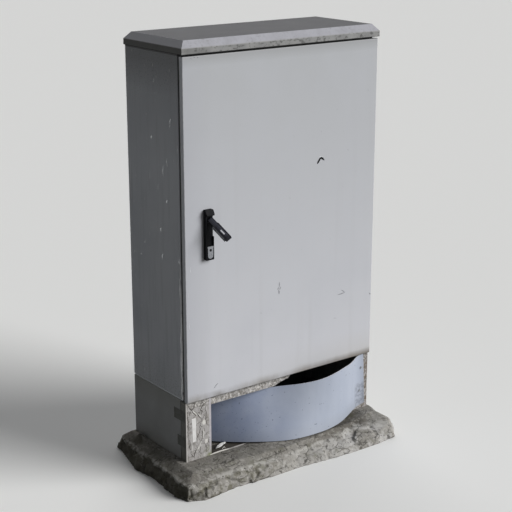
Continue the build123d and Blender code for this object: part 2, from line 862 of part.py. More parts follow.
def latch_rod(pin, tip):
    """Flat rod from its eye on the crank pin to a tapered tip at the frame's edge."""
    way = 1 if tip > pin[1] else -1
    x, z = pin
    with BuildPart() as rod:
        with BuildSketch(front(rod_y + rod_thickness)):
            with BuildLine():
                Polyline(
                    (x - rod_width / 2, z), (x - rod_width / 2, tip - way * tip_taper),
                    (x - rod_width / 4, tip), (x + rod_width / 4, tip),
                    (x + rod_width / 2, tip - way * tip_taper), (x + rod_width / 2, z), close=True,
                )
            make_face()
            with Locations(pin):
                Circle(rod_width / 2)
                Circle(crank_pin_r + running, mode=Mode.SUBTRACT)
        extrude(amount=rod_thickness)
    return rod.part


with BuildPart() as upper_rod:
    add(latch_rod(crank_pins_at[0], tip_high))
upper_rod.part.label = "upper_rod"
export_step(upper_rod.part, "parts/upper_rod.step")

with BuildPart() as lower_rod:
    add(latch_rod(crank_pins_at[1], tip_low))
lower_rod.part.label = "lower_rod"
export_step(lower_rod.part, "parts/lower_rod.step")

# Guides leave the rods room for the sideways swing of the crank pins.
swing_mid = crank_r * (1 + math.sin(math.radians(45))) / 2
guide_wide = rod_width + crank_r * (1 - math.sin(math.radians(45))) + 2
guide_height = 15
guide_wall = 2
guide_foot = 16
upper_guides = (body_z + 692, body_z + 922)
lower_guides = (body_z + 162, body_z + 392)

with BuildPart() as rod_guides:
    for side_of, heights in ((-1, upper_guides), (1, lower_guides)):
        mid = spindle_x + side_of * swing_mid
        low_y = rod_y - play
        high_y = rod_y + rod_thickness + play
        for height in heights:
            with BuildSketch(level(height - guide_height / 2)):
                with Locations((mid, (low_y + high_y) / 2)):
                    Rectangle(guide_wide + 2 * guide_wall, high_y - low_y + 2 * guide_wall)
                    Rectangle(guide_wide, high_y - low_y, mode=Mode.SUBTRACT)
                with Locations((mid + guide_wide / 2 + guide_wall, sheet)):
                    Rectangle(guide_wall, low_y - sheet, align=(Align.MAX, Align.MIN))
                    Rectangle(guide_foot, guide_wall, align=(Align.MIN, Align.MIN))
            extrude(amount=guide_height)
rod_guides.part.label = "rod_guides"
export_step(rod_guides.part, "parts/rod_guides.step")

keeper_run = 28
keeper_rise = rod_y - play - frame_y - sheet

with BuildPart() as rod_keepers:
    for side_of, start, way in (
        (-1, opening_high + sheet, 1),
        (1, opening_low - sheet, -1),
    ):
        mid = spindle_x + side_of * swing_mid
        with BuildSketch(across(mid)):
            with BuildLine():
                Polyline(
                    (frame_y + sheet, start), (frame_y + sheet + 1, start),
                    (frame_y + sheet + keeper_rise, start + way * 6),
                    (frame_y + sheet + keeper_rise, start + way * keeper_run),
                    (frame_y + sheet, start + way * keeper_run), close=True,
                )
            make_face()
        extrude(amount=guide_wide / 2, both=True)
rod_keepers.part.label = "rod_keepers"
export_step(rod_keepers.part, "parts/rod_keepers.step")

# -------------------------------------------------------- distribution gear
plate_y = 272
plate_front = plate_y - 2.5
plate_half = 290
plate_low = body_z + 70
plate_high = body_z + 1010
standoff_r = 4
standoff_places = [(x, z) for x in (-265, 265) for z in (plate_low + 30, plate_high - 30)]
rail_wide = 35
rail_deep = 7.5
rail_sheet = 1
rail_half = 240
rail_front = plate_front - rail_deep
flange_y = rail_front + rail_sheet
branch_z = body_z + 600
terminal_z = body_z + 420
spare_z = body_z + 290
main_z = body_z + 890
busbar_heights = (body_z + 700, body_z + 732, body_z + 764)

with BuildPart() as mounting_plate:
    with BuildSketch(front(plate_y)):
        with Locations((0, (plate_low + plate_high) / 2)):
            RectangleRounded(2 * plate_half, plate_high - plate_low, 8)
        with Locations(*standoff_places):
            Circle(standoff_r, mode=Mode.SUBTRACT)
    extrude(amount=plate_y - plate_front)
mounting_plate.part.label = "mounting_plate"
export_step(mounting_plate.part, "parts/mounting_plate.step")

with BuildPart() as plate_standoffs:
    for place in standoff_places:
        with BuildSketch(front(back_y)):
            with Locations(place):
                RegularPolygon(8, 6, major_radius=False)
        extrude(amount=back_y - plate_y)
        with BuildSketch(front(plate_y)):
            with Locations(place):
                Circle(standoff_r)
        extrude(amount=plate_y - plate_front + 1)
        with BuildSketch(front(plate_front)):
            with Locations(place):
                RegularPolygon(6.5, 6, major_radius=False)
        extrude(amount=5)
plate_standoffs.part.label = "plate_standoffs"
export_step(plate_standoffs.part, "parts/plate_standoffs.step")

with BuildPart() as din_rails:
    for height in (branch_z, terminal_z, spare_z):
        hat = [
            (flange_y, height - rail_wide / 2), (flange_y, height - 13.5),
            (plate_front, height - 13.5), (plate_front, height + 13.5),
            (flange_y, height + 13.5), (flange_y, height + rail_wide / 2),
        ]
        with BuildSketch(across(-rail_half)):
            with BuildLine():
                Polyline(*hat)
                offset(amount=rail_sheet, side=Side.LEFT)
            make_face()
        extrude(amount=2 * rail_half)
din_rails.part.label = "din_rails"
export_step(din_rails.part, "parts/din_rails.step")

main_wide = 105
main_high = 165
main_deep = 76
main_step = 10
main_slot = (18, 56)
main_front = plate_front - main_deep

with BuildPart() as main_breaker:
    with BuildSketch(front(plate_front)):
        with Locations((0, main_z)):
            RectangleRounded(main_wide, main_high, 2)
    extrude(amount=main_deep)
    with BuildSketch(front(main_front)):
        with Locations((0, main_z)):
            RectangleRounded(main_wide - 4, 84, 3)
    extrude(amount=main_step)
    with BuildSketch(front(main_front + 14)):
        with Locations((0, main_z)):
            Rectangle(*main_slot)
        with Locations(*[(x, main_z + z) for x in (-35, 0, 35) for z in (-68, 68)]):
            Rectangle(18, 16)
    extrude(amount=40, mode=Mode.SUBTRACT)
    with BuildSketch(front(main_front + 30)):
        with Locations(*[(x, main_z + z) for x in (-17.5, 17.5) for z in (-74, 74)]):
            Rectangle(1.5, 18)
    extrude(amount=40, mode=Mode.SUBTRACT)
main_breaker.part.label = "main_breaker"
export_step(main_breaker.part, "parts/main_breaker.step")

toggle_tilt = 20


def toggle(x, y, z, wide, hub, reach, grip):
    """Breaker toggle: a round hub with a tapered grip that leans up when it is on."""
    up = math.radians(toggle_tilt)
    lean = Plane(origin=(x, y, z), x_dir=(0, -math.cos(up), math.sin(up)), z_dir=(1, 0, 0))
    with BuildPart() as piece:
        with BuildSketch(lean):
            Circle(hub)
            with BuildLine():
                Polyline((0, -hub), (reach, -grip), (reach, grip), (0, hub), close=True)
            make_face()
        extrude(amount=wide / 2, both=True)
    return piece.part


main_pivot_y = main_front + 5
with BuildPart() as main_toggle:
    add(toggle(0, main_pivot_y, main_z, main_slot[0] - 2 * play, 8, 34, 3.5))
main_toggle.part.label = "main_toggle"
export_step(main_toggle.part, "parts/main_toggle.step")

branch_wide = 54
branch_high = 84
branch_nose = 45
branch_deep = 54
branch_step = 14
branch_back = rail_front + 3.5
branch_front = branch_back - branch_deep
branch_pivot_y = branch_front - branch_step + 7
branch_x = [-150, -50, 50, 150]
branch_slot = (44, 26)

with BuildPart() as branch_breakers:
    for x in branch_x:
        with BuildSketch(across(x - branch_wide / 2)):
            with BuildLine():
                Polyline(
                    (branch_back, branch_z - branch_high / 2), (branch_front, branch_z - branch_high / 2),
                    (branch_front, branch_z - branch_nose / 2),
                    (branch_front - branch_step, branch_z - branch_nose / 2),
                    (branch_front - branch_step, branch_z + branch_nose / 2),
                    (branch_front, branch_z + branch_nose / 2),
                    (branch_front, branch_z + branch_high / 2), (branch_back, branch_z + branch_high / 2),
                    (branch_back, branch_z + 18), (rail_front, branch_z + 18),
                    (rail_front, branch_z - 18), (branch_back, branch_z - 18), close=True,
                )
            make_face()
        extrude(amount=branch_wide)
        with BuildSketch(front(branch_front)):
            with Locations((x, branch_z)):
                Rectangle(*branch_slot)
        extrude(amount=40, mode=Mode.SUBTRACT)
        with BuildSketch(front(branch_front + 6)):
            with Locations(*[(x + dx, branch_z + dz) for dx in (-18, 0, 18) for dz in (-32, 32)]):
                Rectangle(9, 8)
        extrude(amount=40, mode=Mode.SUBTRACT)
branch_breakers.part.label = "branch_breakers"
export_step(branch_breakers.part, "parts/branch_breakers.step")

for number, x in enumerate(branch_x, start=1):
    name = f"branch_toggle_{number}"
    with BuildPart() as branch_toggle:
        add(toggle(x, branch_pivot_y, branch_z, branch_slot[0] - 2 * play, 6, 17, 2.5))
    branch_toggle.part.label = name
    export_step(branch_toggle.part, f"parts/{name}.step")

busbar_half = 230
busbar_thick = 5
busbar_high = 20
busbar_y = plate_front - 40
support_x = 160

with BuildPart() as busbars:
    for height in busbar_heights:
        with BuildSketch(front(busbar_y)):
            with Locations((0, height)):
                Rectangle(2 * busbar_half, busbar_high)
            with Locations((30 - busbar_half, height), (busbar_half - 30, height)):
                Circle(3.5, mode=Mode.SUBTRACT)
        extrude(amount=busbar_thick)
busbars.part.label = "busbars"
export_step(busbars.part, "parts/busbars.step")

with BuildPart() as busbar_supports:
    for x in (-support_x, support_x):
        with BuildSketch(front(plate_front)):
            with Locations((x, busbar_heights[1])):
                Rectangle(26, 120)
        extrude(amount=plate_front - busbar_y + busbar_thick + 5)
        for height in busbar_heights:
            with BuildSketch(front(busbar_y)):
                with Locations((x, height)):
                    Rectangle(30, busbar_high)
            extrude(amount=busbar_thick, mode=Mode.SUBTRACT)
busbar_supports.part.label = "busbar_supports"
export_step(busbar_supports.part, "parts/busbar_supports.step")

terminal_count = 14
terminal_pitch = 10
terminal_deep = 36
terminal_gap = 0.2

with BuildPart() as terminal_strip:
    for place in range(terminal_count):
        x = (place - (terminal_count - 1) / 2) * terminal_pitch
        with BuildSketch(across(x - (terminal_pitch - terminal_gap) / 2)):
            with BuildLine():
                Polyline(
                    (branch_back, terminal_z - 25), (rail_front - 12, terminal_z - 30),
                    (rail_front - terminal_deep, terminal_z - 14),
                    (rail_front - terminal_deep, terminal_z + 14),
                    (rail_front - 12, terminal_z + 30), (branch_back, terminal_z + 25),
                    (branch_back, terminal_z + 18), (rail_front, terminal_z + 18),
                    (rail_front, terminal_z - 18), (branch_back, terminal_z - 18), close=True,
                )
            make_face()
        extrude(amount=terminal_pitch - terminal_gap)
        with BuildSketch(front(rail_front - terminal_deep + 6)):
            with Locations((x, terminal_z - 8), (x, terminal_z + 8)):
                Rectangle(6, 5)
        extrude(amount=10, mode=Mode.SUBTRACT)
terminal_strip.part.label = "terminal_strip"
export_step(terminal_strip.part, "parts/terminal_strip.step")

bar_half = 170
bar_deep = 14
bar_stand = 22
neutral_z = body_z + 205
earth_z = body_z + 120

with BuildPart() as neutral_bar:
    with BuildSketch(front(plate_front - bar_stand)):
        with Locations((0, neutral_z)):
            Rectangle(2 * bar_half, 16)
    extrude(amount=bar_deep)
    with BuildSketch(front(plate_front - bar_stand - 3)):
        with Locations((0, neutral_z)):
            with GridLocations(40, 1, 8, 1):
                Circle(3)
    extrude(amount=bar_deep, mode=Mode.SUBTRACT)
neutral_bar.part.label = "neutral_bar"
export_step(neutral_bar.part, "parts/neutral_bar.step")

with BuildPart() as bar_insulators:
    for x in (-150, 150):
        with BuildSketch(front(plate_front)):
            with Locations((x, neutral_z)):
                RegularPolygon(11, 6)
        extrude(amount=bar_stand)
bar_insulators.part.label = "bar_insulators"
export_step(bar_insulators.part, "parts/bar_insulators.step")

with BuildPart() as earth_bar:
    with BuildSketch(front(plate_front)):
        with Locations((0, earth_z)):
            Rectangle(2 * bar_half, 20)
            with GridLocations(48, 1, 7, 1):
                Circle(4, mode=Mode.SUBTRACT)
    extrude(amount=6)
earth_bar.part.label = "earth_bar"
export_step(earth_bar.part, "parts/earth_bar.step")

clamp_y = 150
clamp_z = body_z + 52

with BuildPart() as cable_clamp_rail:
    channel = [
        (clamp_y + 7, clamp_z + 9), (clamp_y + 15, clamp_z + 9), (clamp_y + 15, clamp_z - 9),
        (clamp_y - 15, clamp_z - 9), (clamp_y - 15, clamp_z + 9), (clamp_y - 7, clamp_z + 9),
    ]
    with BuildSketch(across(-inner)):
        with BuildLine():
            Polyline(*channel)
            offset(amount=sheet, side=Side.LEFT)
        make_face()
    extrude(amount=2 * inner)
cable_clamp_rail.part.label = "cable_clamp_rail"
export_step(cable_clamp_rail.part, "parts/cable_clamp_rail.step")
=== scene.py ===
import math
import random

import bmesh
import bpy
from mathutils import Matrix, Vector, noise


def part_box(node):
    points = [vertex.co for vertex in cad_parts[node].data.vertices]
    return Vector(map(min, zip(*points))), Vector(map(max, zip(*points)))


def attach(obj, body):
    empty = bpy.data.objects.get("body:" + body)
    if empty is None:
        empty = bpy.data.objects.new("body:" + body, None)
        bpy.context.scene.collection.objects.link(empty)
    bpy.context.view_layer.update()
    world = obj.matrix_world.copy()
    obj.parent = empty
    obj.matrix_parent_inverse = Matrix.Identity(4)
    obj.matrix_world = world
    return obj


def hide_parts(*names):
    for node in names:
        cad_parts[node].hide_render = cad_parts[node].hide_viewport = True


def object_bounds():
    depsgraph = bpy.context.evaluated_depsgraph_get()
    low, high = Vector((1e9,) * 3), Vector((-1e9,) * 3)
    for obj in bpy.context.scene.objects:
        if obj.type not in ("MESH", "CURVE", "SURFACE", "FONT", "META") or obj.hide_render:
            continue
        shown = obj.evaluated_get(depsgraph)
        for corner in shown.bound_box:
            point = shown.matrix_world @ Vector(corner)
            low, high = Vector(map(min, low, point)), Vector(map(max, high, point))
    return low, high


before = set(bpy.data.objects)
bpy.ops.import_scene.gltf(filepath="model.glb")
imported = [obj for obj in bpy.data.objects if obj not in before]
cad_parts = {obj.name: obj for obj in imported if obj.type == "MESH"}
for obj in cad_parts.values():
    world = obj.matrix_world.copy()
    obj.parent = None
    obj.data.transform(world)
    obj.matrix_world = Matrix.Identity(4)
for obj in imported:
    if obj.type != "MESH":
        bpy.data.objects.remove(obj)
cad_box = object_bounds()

# A street cabinet of powder-coated sheet steel on a rough concrete pad, in metres.
# X runs across the door, Y from the door's face to the back, Z up from the pad's underside.
MM = 0.001
pad_low, pad_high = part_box("concrete_base")
post_low, post_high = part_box("plinth_front_frame")
door_low, door_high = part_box("door_skin")
side_low, side_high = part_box("side_panel_left")
rear_low, rear_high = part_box("plinth_back")
cover_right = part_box("plinth_cover_sheet")[1].x
pin_low, pin_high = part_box("lever_pin")
ground = pad_high.z
roof_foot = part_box("roof_cap")[0].z
roof_bend = roof_foot + 18 * MM  # where the skirt turns into the slope
window_left = post_low.x + 95 * MM  # the left post's edge at the plinth's opening
edge_z = 45  # the pad's broken edge, in mm above its underside
random.seed(7)

# The swing handle at rest: its lever stands turned by 28 degrees and lifted by 42.
lever_turn = math.radians(28)
lever_lift = math.radians(42)
lever_pivot = (pin_low + pin_high) / 2
lever_across = Vector((math.cos(lever_turn), 0, math.sin(lever_turn)))
lever_down = Vector((math.sin(lever_turn), 0, -math.cos(lever_turn)))
lever_along = lever_down * math.cos(lever_lift) + Vector((0, -math.sin(lever_lift), 0))
lever_out = lever_along.cross(lever_across)


# ------------------------------------------------------------------ materials
def shade(code):
    """An sRGB hex colour as the linear colour that a shader takes."""
    parts = [int(code[i:i + 2], 16) / 255 for i in (1, 3, 5)]
    linear = [c / 12.92 if c <= 0.04045 else ((c + 0.055) / 1.055) ** 2.4 for c in parts]
    return (*linear, 1)


def add(tree, kind, feeds, output=0, **settings):
    """Adds a node with its settings, feeds its inputs with values or links, and returns an output."""
    made = tree.nodes.new("ShaderNode" + kind)
    for name, value in settings.items():
        setattr(made, name, value)
    if isinstance(feeds, dict):
        pairs = [(made.inputs[name], value) for name, value in feeds.items()]
    else:
        pairs = zip([s for s in made.inputs if s.enabled], feeds)
    for socket, value in pairs:
        if isinstance(value, bpy.types.NodeSocket):
            tree.links.new(value, socket)
        else:
            socket.default_value = value
    if isinstance(output, str):
        return made.outputs[output]
    return [s for s in made.outputs if s.enabled][output]


# Settings that pick what a Mix or Math node does.
COLOURS = {"data_type": "RGBA"}
TIMES = {"operation": "MULTIPLY"}
PLUS = {"operation": "ADD"}
LARGER = {"operation": "MAXIMUM"}


def blank(name):
    """A new material with an empty tree, and where its patterns are measured from."""
    made = bpy.data.materials.new(name)
    made.use_nodes = True
    made.node_tree.nodes.clear()
    return made, made.node_tree, add(made.node_tree, "TexCoord", {}, "Object")


def end_in(tree, shader, kind="Material"):
    """Ends a tree in the output node of a material or a world."""
    end = tree.nodes.new("ShaderNodeOutput" + kind)
    tree.links.new(shader, end.inputs["Surface"])


def surface(tree, colour, roughness, height=None, relief=1.0, **sockets):
    """Ends a material as one principled surface; relief is the height's full depth in mm."""
    feeds = {"Base Color": colour, "Roughness": roughness, **sockets}
    if height is not None:
        feeds["Normal"] = add(tree, "Bump", {"Height": height, "Distance": relief * MM})
    end_in(tree, add(tree, "BsdfPrincipled", feeds))


def cloud(tree, place, size, low, high, detail=4.0, stretch=(1, 1, 1), shift=(0, 0, 0)):
    """Mask of soft patches of that size in mm: 0 where the noise is under low, 1 where over high."""
    at = add(tree, "Mapping", {"Vector": place, "Location": shift, "Scale": stretch})
    value = add(tree, "TexNoise", {"Vector": at, "Scale": 1 / (size * MM), "Detail": detail})
    return add(tree, "MapRange", [value, low, high, 0.0, 1.0])


def fade(tree, place, axis, start, end, two_sided=False):
    """Mask from 0 at start to 1 at end along one axis of a place or direction.

    Two-sided, it measures away from the middle, to both sides alike.
    """
    along = add(tree, "SeparateXYZ", [place], axis)
    if two_sided:
        along = add(tree, "Math", [along], operation="ABSOLUTE")
    return add(tree, "MapRange", [along, start, end, 0.0, 1.0])


def meet(tree, *masks):
    """Mask where all the masks are on; a number among them weakens it."""
    *others, joined = masks
    for mask in reversed(others):
        joined = add(tree, "Math", [mask, joined], **TIMES)
    return joined


def layers(tree, base, *coats):
    """Lays hex colours over a base colour, each where all of its own masks are on."""
    colour = shade(base)
    for over, *masks in coats:
        colour = add(tree, "Mix", [meet(tree, *masks), colour, shade(over)], **COLOURS)
    return colour


def orange_peel(tree, place):
    """The fine waviness of powder coat, drawn at 5 mm, as coarse as it needs to be to show."""
    return add(tree, "TexNoise", {"Vector": place, "Scale": 1 / (5 * MM), "Detail": 2.0})


def scrawl(tree, place, size, width, shift=(0, 0, 0)):
    """Mask of thin wandering lines: where a noise passes through its middle value."""
    at = add(tree, "Mapping", {"Vector": place, "Location": shift})
    value = add(tree, "TexNoise", {"Vector": at, "Scale": 1 / (size * MM), "Detail": 3.0})
    apart = add(tree, "Math", [value, 0.5], operation="SUBTRACT")
    apart = add(tree, "Math", [apart], operation="ABSOLUTE")
    return add(tree, "MapRange", [apart, 0.0, width, 1.0, 0.0])


def door_paint():
    """Polyester powder coat on the door: light grey, dirty at its foot; painted shade darkens it towards
    the top, under the roof, on its inner faces and in the gaps at its top and rear edges, and a painted
    highlight runs with the wear along its left edge.
    """
    made, tree, place = blank("door_powder_coat")
    foot, top, left = door_low.z, door_high.z, door_low.x
    blotch = cloud(tree, place, 60, 0.35, 0.75)
    to_right = fade(tree, place, "X", left + 175 * MM, door_high.x - 35 * MM)
    dirt = meet(
        tree, fade(tree, place, "Z", foot + 22 * MM, foot + 2 * MM),
        add(tree, "Math", [to_right, blotch], **LARGER),
    )
    foot_haze = meet(tree, fade(tree, place, "Z", foot + 100 * MM, foot), to_right)
    foot_smear = meet(
        tree, fade(tree, place, "Z", foot + 30 * MM, foot + 4 * MM),
        cloud(tree, place, 90, 0.4, 0.6, shift=(3, 0, 0), stretch=(1, 1, 0.4)),
    )
    returns = fade(tree, place, "X", door_high.x - 1.5 * MM, door_high.x - 0.5 * MM, two_sided=True)
    # Painted shade: the returns' rear edge is painted near-black, as the shade in the gap beside the door.
    gap_shade_strip = meet(
        tree, returns, fade(tree, place, "Y", door_high.y - 4.5 * MM, door_high.y - 2.5 * MM),
    )
    # Painted shade: the door's top rim is painted near-black, as the shade in the gap under the roof's
    # skirt.
    top_gap_shade = meet(tree, fade(tree, place, "Z", top - 1.8 * MM, top - 0.6 * MM), 0.85)
    inside = fade(tree, place, "Y", 2 * MM, 5 * MM)
    # Partly wear, partly painted highlight: a broken pale line along the door's left edge.
    worn_edge_and_highlight = meet(
        tree, fade(tree, place, "X", left + 2.5 * MM, left + 1 * MM),
        fade(tree, place, "Y", 1.4 * MM, 0.6 * MM),
    )
    chips = meet(tree, inside, cloud(tree, place, 5, 0.62, 0.68, stretch=(1, 1, 0.3)))
    colour = layers(
        tree, "#c0c1c6",
        # Painted shade: the coat is darker towards the top, under the roof's overhang.
        ("#a7a9ac", fade(tree, place, "Z", foot + 84 * MM, top - 4 * MM)),
        ("#a3a4aa", fade(tree, place, "X", left + 105 * MM, left + 5 * MM), 0.55),
        ("#b2b4ba", cloud(tree, place, 220, 0.45, 0.75), 0.4),
        ("#a9a9ab", cloud(tree, place, 34, 0.55, 0.8, stretch=(1, 1, 0.05)), 0.22),
        ("#b3aea4", foot_haze, 0.35),
        ("#8b857b", foot_smear, 0.55),
        ("#5e574d", dirt, 0.85),
        # Painted shade: a darker band just under the roof's skirt.
        ("#949596", fade(tree, place, "Z", top - 35 * MM, top - 6 * MM), 0.7),
        ("#7c7c7a", cloud(tree, place, 3, 0.73, 0.79, detail=1.0), 0.6),
        # Painted shade: the door's inner faces are painted darker than its coat.
        ("#6a6d73", inside, 0.9),
        ("#b6b9bf", returns, 0.9),
        ("#3f4042", chips, 0.3),
        ("#131416", gap_shade_strip),
        ("#2b2b2b", top_gap_shade),
        ("#d6d7d6", worn_edge_and_highlight, cloud(tree, place, 18, 0.4, 0.6)),
    )
    rough = add(tree, "MapRange", [blotch, 0.0, 1.0, 0.45, 0.58])
    surface(tree, colour, rough, orange_peel(tree, place), relief=0.1)
    return made


def side_paint():
    """The same coat on the body's walls, with rain streaks and scuffs, painted shade under the roof and in
    the gap behind the door's edge, and the left wall's fold worn bright and painted white as a painted
    highlight.
    """
    made, tree, place = blank("wall_powder_coat")
    foot, top, front = side_low.z, side_high.z, side_low.y
    inner, outer = -side_high.x, -side_low.x
    # Painted shade: a dark line just under the roof's skirt.
    roof_shade_line = fade(tree, place, "Z", roof_foot - 6 * MM, roof_foot - 4 * MM)
    fold = meet(
        tree, fade(tree, place, "X", inner - 1.5 * MM, inner - 0.5 * MM, two_sided=True),
        fade(tree, place, "Y", front + 5.5 * MM, front + 4 * MM),
    )
    behind_fold = fade(tree, place, "X", outer - 1.8 * MM, outer - 2.6 * MM, two_sided=True)
    # Partly wear, partly painted highlight: the left wall's fold is painted pure white so that it stays
    # bright on the unlit side.
    bright_fold = meet(
        tree, fade(tree, place, "X", 0.0, -100 * MM), fold, cloud(tree, place, 30, 0.4, 0.55),
        fade(tree, place, "Z", foot + 478 * MM, foot + 228 * MM),
    )
    streaks = cloud(tree, place, 14, 0.5, 0.8, stretch=(1, 1, 0.07))
    scuffs = cloud(tree, place, 9, 0.68, 0.74, detail=6.0, stretch=(1, 1, 0.35))
    soil = cloud(tree, place, 5, 0.56, 0.64, detail=5.0, shift=(0, 4, 0))
    head = fade(tree, place, "Z", top - 200 * MM, top - 10 * MM)
    tail = fade(tree, place, "Z", foot + 130 * MM, foot)
    colour = layers(
        tree, "#b1b4b9",
        ("#bdc0c6", fade(tree, place, "Z", foot + 328 * MM, foot + 28 * MM), 0.5),
        ("#9ea2a9", cloud(tree, place, 180, 0.4, 0.75), 0.6),
        ("#8a8d90", streaks, 0.4),
        ("#86888c", fade(tree, place, "Z", top - 350 * MM, top - 10 * MM), 0.65),
        ("#5f5f58", head, soil, 0.7),
        # Painted shade: a plain darker band under the roof.
        ("#5c5d5e", fade(tree, place, "Z", top - 140 * MM, top - 40 * MM), 0.65),
        ("#7f807c", tail, 0.2),
        ("#5a5c52", tail, soil, 0.6),
        ("#d3d5d6", scuffs, 0.55),
        ("#ffffff", bright_fold),
        # Painted shade: the wall's return behind the door's edge is painted near-black, as the shade in the
        # gap.
        ("#111112", fold, behind_fold),
        ("#1b1b1b", roof_shade_line, 0.9),
    )
    surface(tree, colour, 0.55, orange_peel(tree, place), relief=0.06, **{"Specular IOR Level": 0.3})
    return made


def roof_paint():
    """The roof's coat: dirt on the skirt and soot patches on the flat top; painted shade darkens the flat
    top, the left skirt and a line at the skirt's foot, and painted light brightens the left slope.
    """
    made, tree, place = blank("roof_powder_coat")
    facing = add(tree, "TexCoord", {}, "Normal")
    flat = fade(tree, facing, "Z", 0.85, 0.95)
    skirt = fade(tree, place, "Z", roof_bend + 1.5 * MM, roof_bend - 1.5 * MM)
    soot = cloud(tree, place, 70, 0.3, 0.7, detail=6.0)
    spots = cloud(tree, place, 6, 0.55, 0.62, stretch=(0.6, 1, 1))
    corner = fade(tree, place, "X", post_low.x + 105 * MM, post_low.x + 5 * MM)
    patches = cloud(tree, place, 50, 0.42, 0.6)
    drips = cloud(tree, place, 10, 0.5, 0.7, stretch=(1, 1, 0.1))
    bend_line = meet(tree, skirt, fade(tree, place, "Z", roof_bend - 2.5 * MM, roof_bend - 0.5 * MM))
    # Painted shadow: a near-black line along the foot of the skirt.
    skirt_shadow_line = fade(tree, place, "Z", roof_foot + 1.6 * MM, roof_foot + 0.8 * MM)
    leftward = fade(tree, facing, "X", -0.3, -0.45)
    # Painted light: the left slope is painted lighter than the others.
    left_slope_highlight = meet(
        tree, leftward, fade(tree, place, "Z", roof_bend - 1.5 * MM, roof_bend + 1.5 * MM),
    )
    colour = layers(
        tree, "#a5a5ab",
        ("#8d8d91", cloud(tree, place, 60, 0.45, 0.8), 0.5),
        ("#808084", drips, 0.2),
        ("#6b6b66", spots, patches, 0.3),
        ("#c6c6ca", left_slope_highlight),
        ("#8b8b8a", skirt, 0.9),
        ("#a3a3a1", skirt, patches, 0.5),
        ("#6c6c6a", skirt, soot, 0.45),
        ("#454543", skirt, spots, 0.6),
        ("#b6b6b4", bend_line, 0.5),
        ("#4c4c4a", skirt, corner, soot, 0.5),
        # Painted shade: the skirt's faces turned to the left are painted darker.
        ("#686866", skirt, leftward, 0.85),
        ("#191918", skirt_shadow_line, 0.95),
        # Painted shade: the flat top is painted darker as a whole; the soot patches lie on top of it.
        ("#636365", flat),
        ("#565658", flat, soot, 0.4),
    )
    surface(tree, colour, 0.85, soot, relief=0.15, **{"Specular IOR Level": 0.2})
    return made


def plinth_paint():
    """The plinth's coat: splashed with mud, glue and scribbles in front, darker on walls, dark inside from
    dirt and painted shade, with painted highlights on two edges of the post.
    """
    made, tree, place = blank("plinth_powder_coat")
    face, left, right, top = post_low.y, post_low.x, post_high.x, post_high.z
    front = fade(tree, place, "Y", face + 3 * MM, face + 0.6 * MM)
    return_strip = meet(
        tree, fade(tree, place, "Y", face + 1 * MM, face + 4 * MM),
        fade(tree, place, "Y", face + 30.2 * MM, face + 29.2 * MM),
    )
    # Inside the plinth the coat is painted near-black: partly dirt, partly painted shade.
    within = meet(
        tree,
        fade(tree, place, "X", left + 20 * MM, left + 30 * MM),
        fade(tree, place, "X", right - 20 * MM, right - 30 * MM),
        fade(tree, place, "Y", face + 2 * MM, face + 5 * MM),
        fade(tree, place, "Y", rear_low.y + 1 * MM, rear_low.y - 1 * MM),
    )
    glue = cloud(tree, place, 8, 0.6, 0.63, stretch=(1, 1, 0.5))
    mud = cloud(tree, place, 16, 0.5, 0.66, detail=7.0, shift=(3, 0, 1))
    scribble = meet(tree, scrawl(tree, place, 26, 0.035), cloud(tree, place, 30, 0.4, 0.5, shift=(0, 0, 6)))
    fine_scribble = meet(
        tree, scrawl(tree, place, 12, 0.06, shift=(2, 0, 0)), cloud(tree, place, 40, 0.5, 0.55),
    )
    low = fade(tree, place, "Z", ground + 50 * MM, ground + 4 * MM)
    moss = meet(
        tree, fade(tree, place, "Z", ground + 40 * MM, ground + 8 * MM), cloud(tree, place, 16, 0.4, 0.6),
        fade(tree, place, "X", window_left - 30 * MM, window_left - 5 * MM),
        fade(tree, place, "X", window_left + 40 * MM, window_left + 20 * MM),
    )
    seam_dirt = fade(tree, place, "Z", top - 10 * MM, top)
    # Painted highlight: a pale line along the post's outer edge.
    outer_edge_highlight = fade(tree, place, "X", left + 3.5 * MM, left + 2 * MM)
    # Painted highlight: a pale strip along the post's edge at the window.
    window_edge_highlight = meet(
        tree, fade(tree, place, "X", window_left - 8.5 * MM, window_left - 6.5 * MM),
        fade(tree, place, "X", window_left + 0.5 * MM, window_left - 0.5 * MM),
    )
    rail = meet(tree, front, fade(tree, place, "Z", ground + 170 * MM, ground + 176 * MM))
    rail_dirt = cloud(tree, place, 6, 0.5, 0.6, detail=5.0, stretch=(0.6, 1, 1))
    rail_pale = cloud(tree, place, 8, 0.54, 0.62, detail=5.0, shift=(4, 0, 2))
    right_strip = meet(
        tree, fade(tree, place, "X", right - 26 * MM, right - 23 * MM),
        cloud(tree, place, 9, 0.47, 0.55, stretch=(1.6, 1, 0.7)),
    )
    on_sill = fade(tree, place, "Z", ground + 5 * MM, ground + 3 * MM)
    colour = layers(
        tree, "#959697",
        ("#838583", cloud(tree, place, 120, 0.4, 0.7), 0.6),
        ("#74756c", fade(tree, place, "Z", ground + 130 * MM, ground + 200 * MM), 0.4),
        ("#73716a", low, 0.5),
        ("#5f5f56", return_strip, 0.7),
        ("#a3a09e", front),
        ("#827d76", front, mud, 0.6),
        ("#c2c0bd", front, glue, 0.5),
        ("#57544f", front, scribble, 0.85),
        ("#625f5a", front, fine_scribble, 0.6),
        ("#67625b", rail, rail_dirt, 0.7),
        ("#cfccc7", rail, rail_pale, 0.8),
        ("#5c4e3d", front, right_strip, 0.75),
        ("#4a4844", front, seam_dirt, 0.6),
        ("#c9c6c1", front, outer_edge_highlight, 0.8),
        ("#b9b6bb", front, window_edge_highlight, 0.7),
        ("#6b7047", front, moss, 0.85),
        ("#262421", within, 0.92),
        ("#4c4740", within, on_sill, 0.8),
    )
    height = add(tree, "Math", [glue, meet(tree, mud, 0.5)], **PLUS)
    surface(tree, colour, 0.65, height, relief=0.4, **{"Specular IOR Level": 0.3})
    return made


